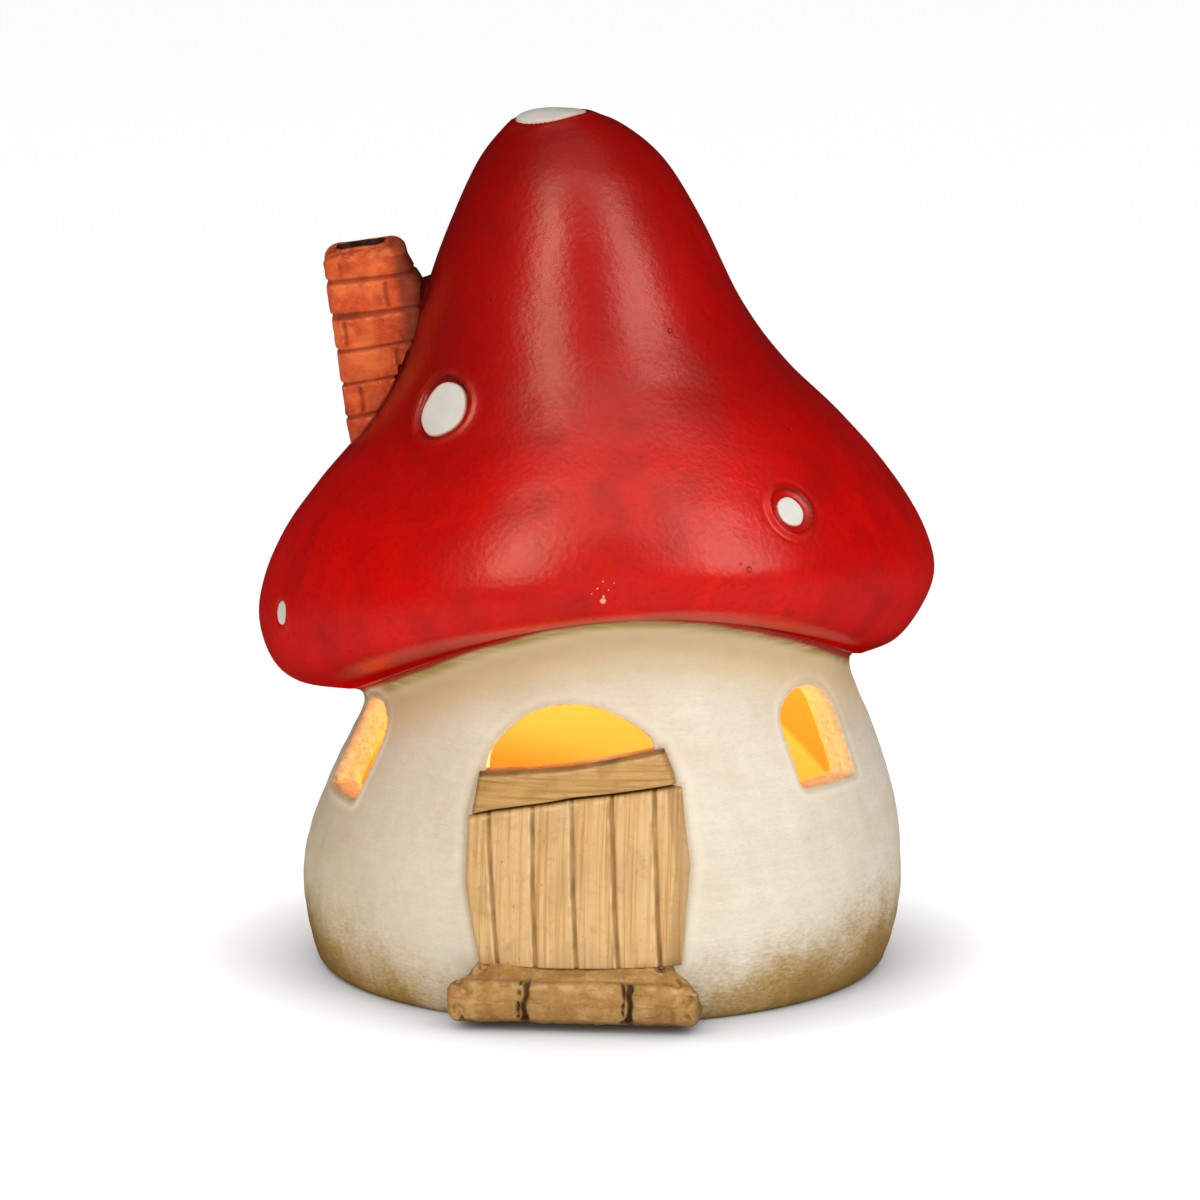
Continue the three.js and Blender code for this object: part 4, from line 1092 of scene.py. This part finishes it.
# the doorway is a pocket in the wall, with a floor that follows the wall's front
doorway = np.array(DOORWAY, float)
doorway = doorway - 1.6 * unit(doorway - doorway.mean(0))
pocket = make("pocket", *outline_prism(rounded_outline(doorway, 1.2), 40, 105))
SIDE = 40
sheet = front_sheet(*np.meshgrid(np.linspace(-40, 40, SIDE), np.linspace(5, 84, SIDE)), DOORWAY_FLOOR)
shallow = sheet.reshape(-1, 3)
sheet_faces = grid_faces(SIDE, SIDE, closed=False)
rim = border_loop(SIDE, SIDE)
block_faces = [face[::-1] for face in sheet_faces] + [[SIDE**2 + i for i in face] for face in sheet_faces]
block_faces += [(a, a + SIDE**2, b + SIDE**2, b) for a, b in zip(rim, rim[1:] + rim[:1])]
cut_away(pocket, make("block", np.vstack([shallow, shallow + [0, 60, 0]]), block_faces))
cut_away(house, pocket)
remesh = house.modifiers.new("even", "REMESH")
remesh.mode = "VOXEL"
remesh.voxel_size = VOXEL * MM
soften = house.modifiers.new("soften", "SMOOTH")
soften.factor = 0.5
soften.iterations = 5
finished = bpy.data.meshes.new_from_object(house.evaluated_get(bpy.context.evaluated_depsgraph_get()))
house.modifiers.clear()
house.data = finished
for cutter in cutters:
    bpy.data.objects.remove(cutter)

co = np.empty(len(finished.vertices) * 3)
finished.vertices.foreach_get("co", co)
co = co.reshape(-1, 3) / MM
x, y, z = co.T
lean = along(BODY_GUIDE, z, 2)
angle = np.arctan2(y, x - lean)
radius = np.hypot(x - lean, y)
surface = along(BODY_GUIDE, z, 1) + neck_flare(angle, seat_at(angle) - z)
door_gap, arch_gap = (np.where(y < -20, outline_distance(outline, x, z), 99) for outline in (DOORWAY, ARCH))
hole_gap = arch_gap
for direction, outline in windows:
    across, behind = rotated(x, y, math.radians(-direction))
    hole_gap = np.minimum(hole_gap, np.where(behind < -20, outline_distance(outline, across, z), 99))
any_gap = np.minimum(hole_gap, door_gap)
z[:] = np.minimum(z, seat_at(angle) - 0.04)
seat_gap = seat_at(angle) - z
settle = fade(1.2, 2.6, any_gap) * fade(1.5, 4, z)
target = surface + 0.32 * waves(co, 32, 61) + 0.1 * waves(co, 8, 62) - 0.3
shift = np.where(np.abs(radius - surface) < 1.3, (target - radius) * settle, 0)
x += shift * np.cos(angle)
y += shift * np.sin(angle)
z[:] = np.maximum(z, 0.02)
finished.vertices.foreach_set("co", (co * MM).ravel())
finished.update()
finished.shade_smooth()
depth = radius - surface
near_outer = fade(-2.2, -0.9, depth)
seat_face = fade(0.5, 0.1, seat_gap) * fade(-0.4, -1.6, depth)
underside = (z < FLOOR_TOP / 2) * fade(-3, -7, depth)
red_line = around((1.5, 0.7, 0.5, 1.2), angle - CAP_TURN) + 0.2 * waves(co, 14, 66)
masks = {
    "seat": (0.7 * fade(4.5, 0.3, seat_gap) + 0.4 * fade(26, 2, seat_gap)) * near_outer,
    "rim": hump(any_gap - 2.4, 1.0) * near_outer,
    # darker line round the doorway, painted shade round the arch and windows
    "wash": (0.8 * hump(door_gap - 0.2, 0.8) * (arch_gap > 1.5)
             + 0.4 * hump(hole_gap - 1.0, 0.6)) * near_outer,
    "bare": np.max([fade(0.75, 0.1, hole_gap) * (z > 30), seat_face, underside], axis=0),
    # painted glow of the tealight on the inner wall, with the part in painted shadow
    "inside": fade(-WALL + 1.6, -WALL + 0.6, depth) * (z > FLOOR_TOP / 2),
    "glow_shadow": np.where(x > 30, fade(-0.6, 2.2, z - 50 + 0.87 * (x - 46.3)),
                      fade(1.2, -0.2, (z - 38) / 14 + (x + 36) / 40)) * (y > 0),
    "red": fade(0.55, -0.45, seat_gap - red_line) * near_outer * (1 - seat_face),
    "dirt": 0.1 + 0.9 * np.abs(np.cos(angle + 0.1)) ** 1.5,
}
paint(finished, masks)
finished.materials.clear()
finished.materials.append(CREAM)
dress(house, "house", "cream_clay", "house_wall")


# Tealight
def turned(name, profile, material, rounding=0.3):
    """A turned piece from radius and height pairs, its corners rounded."""
    closed = profile[0][0] != 0
    fine = rounded_outline(profile, rounding, 4, closed)
    turned_rings = [polar(circle(96), r, h + LIGHT_BASE) for r, h in fine]
    if closed:
        return make(name, *loft(turned_rings + turned_rings[:1]), material)
    top, bottom = ([0, 0, fine[k][1] + LIGHT_BASE] for k in (0, -1))
    return make(name, *loft(turned_rings[1:-1], top, bottom), material)


LIGHT_PLASTIC = moulded("light_plastic_white", (240, 238, 228), (222, 218, 204), 0.32)
FLAME_PLASTIC = moulded("flame_plastic_warm", (255, 214, 140), (250, 186, 96), 0.35,
                        Emission_Color=(255, 150, 40), Emission_Strength=2.5)
case = turned("tealight_case_moulded", [
    (7, 15.5), (16.8, 14.9), (17.5, 15.5), (17.5, 18), (18.7, 18), (19, 16), (19, 0), (17.8, 0), (17.8, 13.7),
    (7, 14.3)], LIGHT_PLASTIC)
dress(case, "tealight", "light_plastic", "tealight_case")
FLAME_FOOT = 15.8
flame = turned("tealight_flame_moulded", [(r, FLAME_FOOT + h) for r, h in (
    (0, 27), (0.9, 26), (1.7, 23), (2.6, 20), (3.8, 16.4), (5, 13), (5.9, 10), (6.6, 7.5), (6.9, 4),
    (6.4, 1.6), (8, 1), (8, 0), (5.6, 0), (5.6, 5), (5, 8.5), (3.4, 13.5), (1.2, 20), (0, 22))],
    FLAME_PLASTIC, rounding=1.2)
dress(flame, "tealight", "flame_plastic", "tealight_flame")
node_finishes = {
    "tealight_chassis": moulded("chassis_plastic", (232, 229, 218), (212, 207, 192), 0.42),
    "battery_cover": moulded("cover_plastic", (232, 229, 218), (208, 203, 188), 0.42),
    "led": moulded("lamp_epoxy", (255, 232, 160), (250, 214, 120), 0.15,
                   Emission_Color=(255, 170, 60), Emission_Strength=6.0),
    "coin_cell": sheet_metal("cell_steel_plate", (206, 208, 210), (150, 152, 156), 0.24),
    "contact_positive": sheet_metal("contact_plate_a", (208, 200, 176), (150, 140, 116), 0.3),
    "contact_negative": sheet_metal("contact_plate_b", (208, 200, 176), (150, 140, 116), 0.3),
    "switch_knob": moulded("switch_rubber", (52, 52, 54), (26, 26, 28), 0.5, 0.0001),
}
for name, material in node_finishes.items():
    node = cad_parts[name]
    node.data.materials.clear()
    node.data.materials.append(material)

# Light inside the house
glow = bpy.data.lights.new("glow", "POINT")
glow.energy = 0.38
glow.color = (1.0, 0.68, 0.32)
glow.shadow_soft_size = 0.006
glow_lamp = put("glow", glow)
glow_lamp.location = (0, 0, 0.058)
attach(glow_lamp, "tealight")

# Floor, studio light and camera
paper = Finish("floor_paper")
paper.base(paper.noise(3, 2, 0.5), (0.3, (146.6, 148.9, 152.2)), (0.7, (151.1, 153.3, 156.5)))
contact = paper.node("AmbientOcclusion", "AO", {"Distance": 0.037}, samples=12)
shade = paper.times(paper.math("POWER", contact, 1.2), 0.94)
paper.finish(0.9, 0.1, Emission_Color=(255, 255, 255), Emission_Strength=shade)
REACH, LEVEL = 6000, -0.05
corners = [(-REACH, -REACH, LEVEL), (REACH, -REACH, LEVEL), (REACH, REACH, LEVEL), (-REACH, REACH, LEVEL)]
floor = make("floor", corners, [(0, 1, 2, 3)], paper.material)
floor.visible_glossy = False

world = bpy.data.worlds.new("studio")
scene.world = world
world.use_nodes = True
tree = world.node_tree
tree.nodes.clear()
output = tree.nodes.new("ShaderNodeOutputWorld")
path = tree.nodes.new("ShaderNodeLightPath")


def backdrop(strength):
    return add_node(tree, "Background", 0, {0: (255, 255, 255), 1: strength})


def choose(amount, a, b):
    return add_node(tree, "MixShader", 0, {0: amount, 1: a, 2: b})


# white behind the object, dark surroundings in its reflections, dim light from all round
around_object = choose(path.outputs["Is Glossy Ray"], backdrop(0.10), backdrop(0.012))
tree.links.new(choose(path.outputs["Is Camera Ray"], around_object, backdrop(1.0)), output.inputs[0])


WARM = (1.0, 0.965, 0.91)
AIM = Vector((0, 0, 0.11))


def softbox(name, azimuth, elevation, distance, width, height, energy, colour):
    """Azimuth 0 is at the camera's side of the object, positive to its right."""
    data = bpy.data.lights.new(name, "AREA")
    data.shape = "RECTANGLE"
    data.size, data.size_y = width, height
    data.energy = energy
    data.color = colour
    lamp = put(name, data)
    a, e = math.radians(azimuth) + CAP_TURN, math.radians(elevation)
    away = Vector((math.sin(a) * math.cos(e), -math.cos(a) * math.cos(e), math.sin(e)))
    lamp.location = AIM + away * distance
    lamp.rotation_euler = away.to_track_quat("Z", "Y").to_euler()
    return lamp


softbox("key_left", -31, 37, 1.3, 0.4, 0.75, 6.2, (1.0, 0.915, 0.77))
softbox("fill_right", 47, 35, 1.3, 0.55, 0.8, 6.7, (1.0, 0.99, 0.985))
softbox("top", 0, 80, 1.5, 1.4, 1.4, 2.6, WARM)
softbox("front_high", -2, 62, 1.4, 1.5, 0.35, 2.8, WARM).visible_diffuse = False
softbox("front_low", 4, 10, 1.5, 1.0, 0.6, 3.6, WARM).visible_glossy = False

camera_data = bpy.data.cameras.new("camera")
camera_data.lens = 179.06
camera_data.sensor_width = 36
camera = put("camera", camera_data)
camera.location = (0.1613, -1.5420, 0.3952)
camera.rotation_euler = (math.radians(79.08), 0, CAP_TURN)
scene.camera = camera
scene.view_settings.view_transform = "Standard"
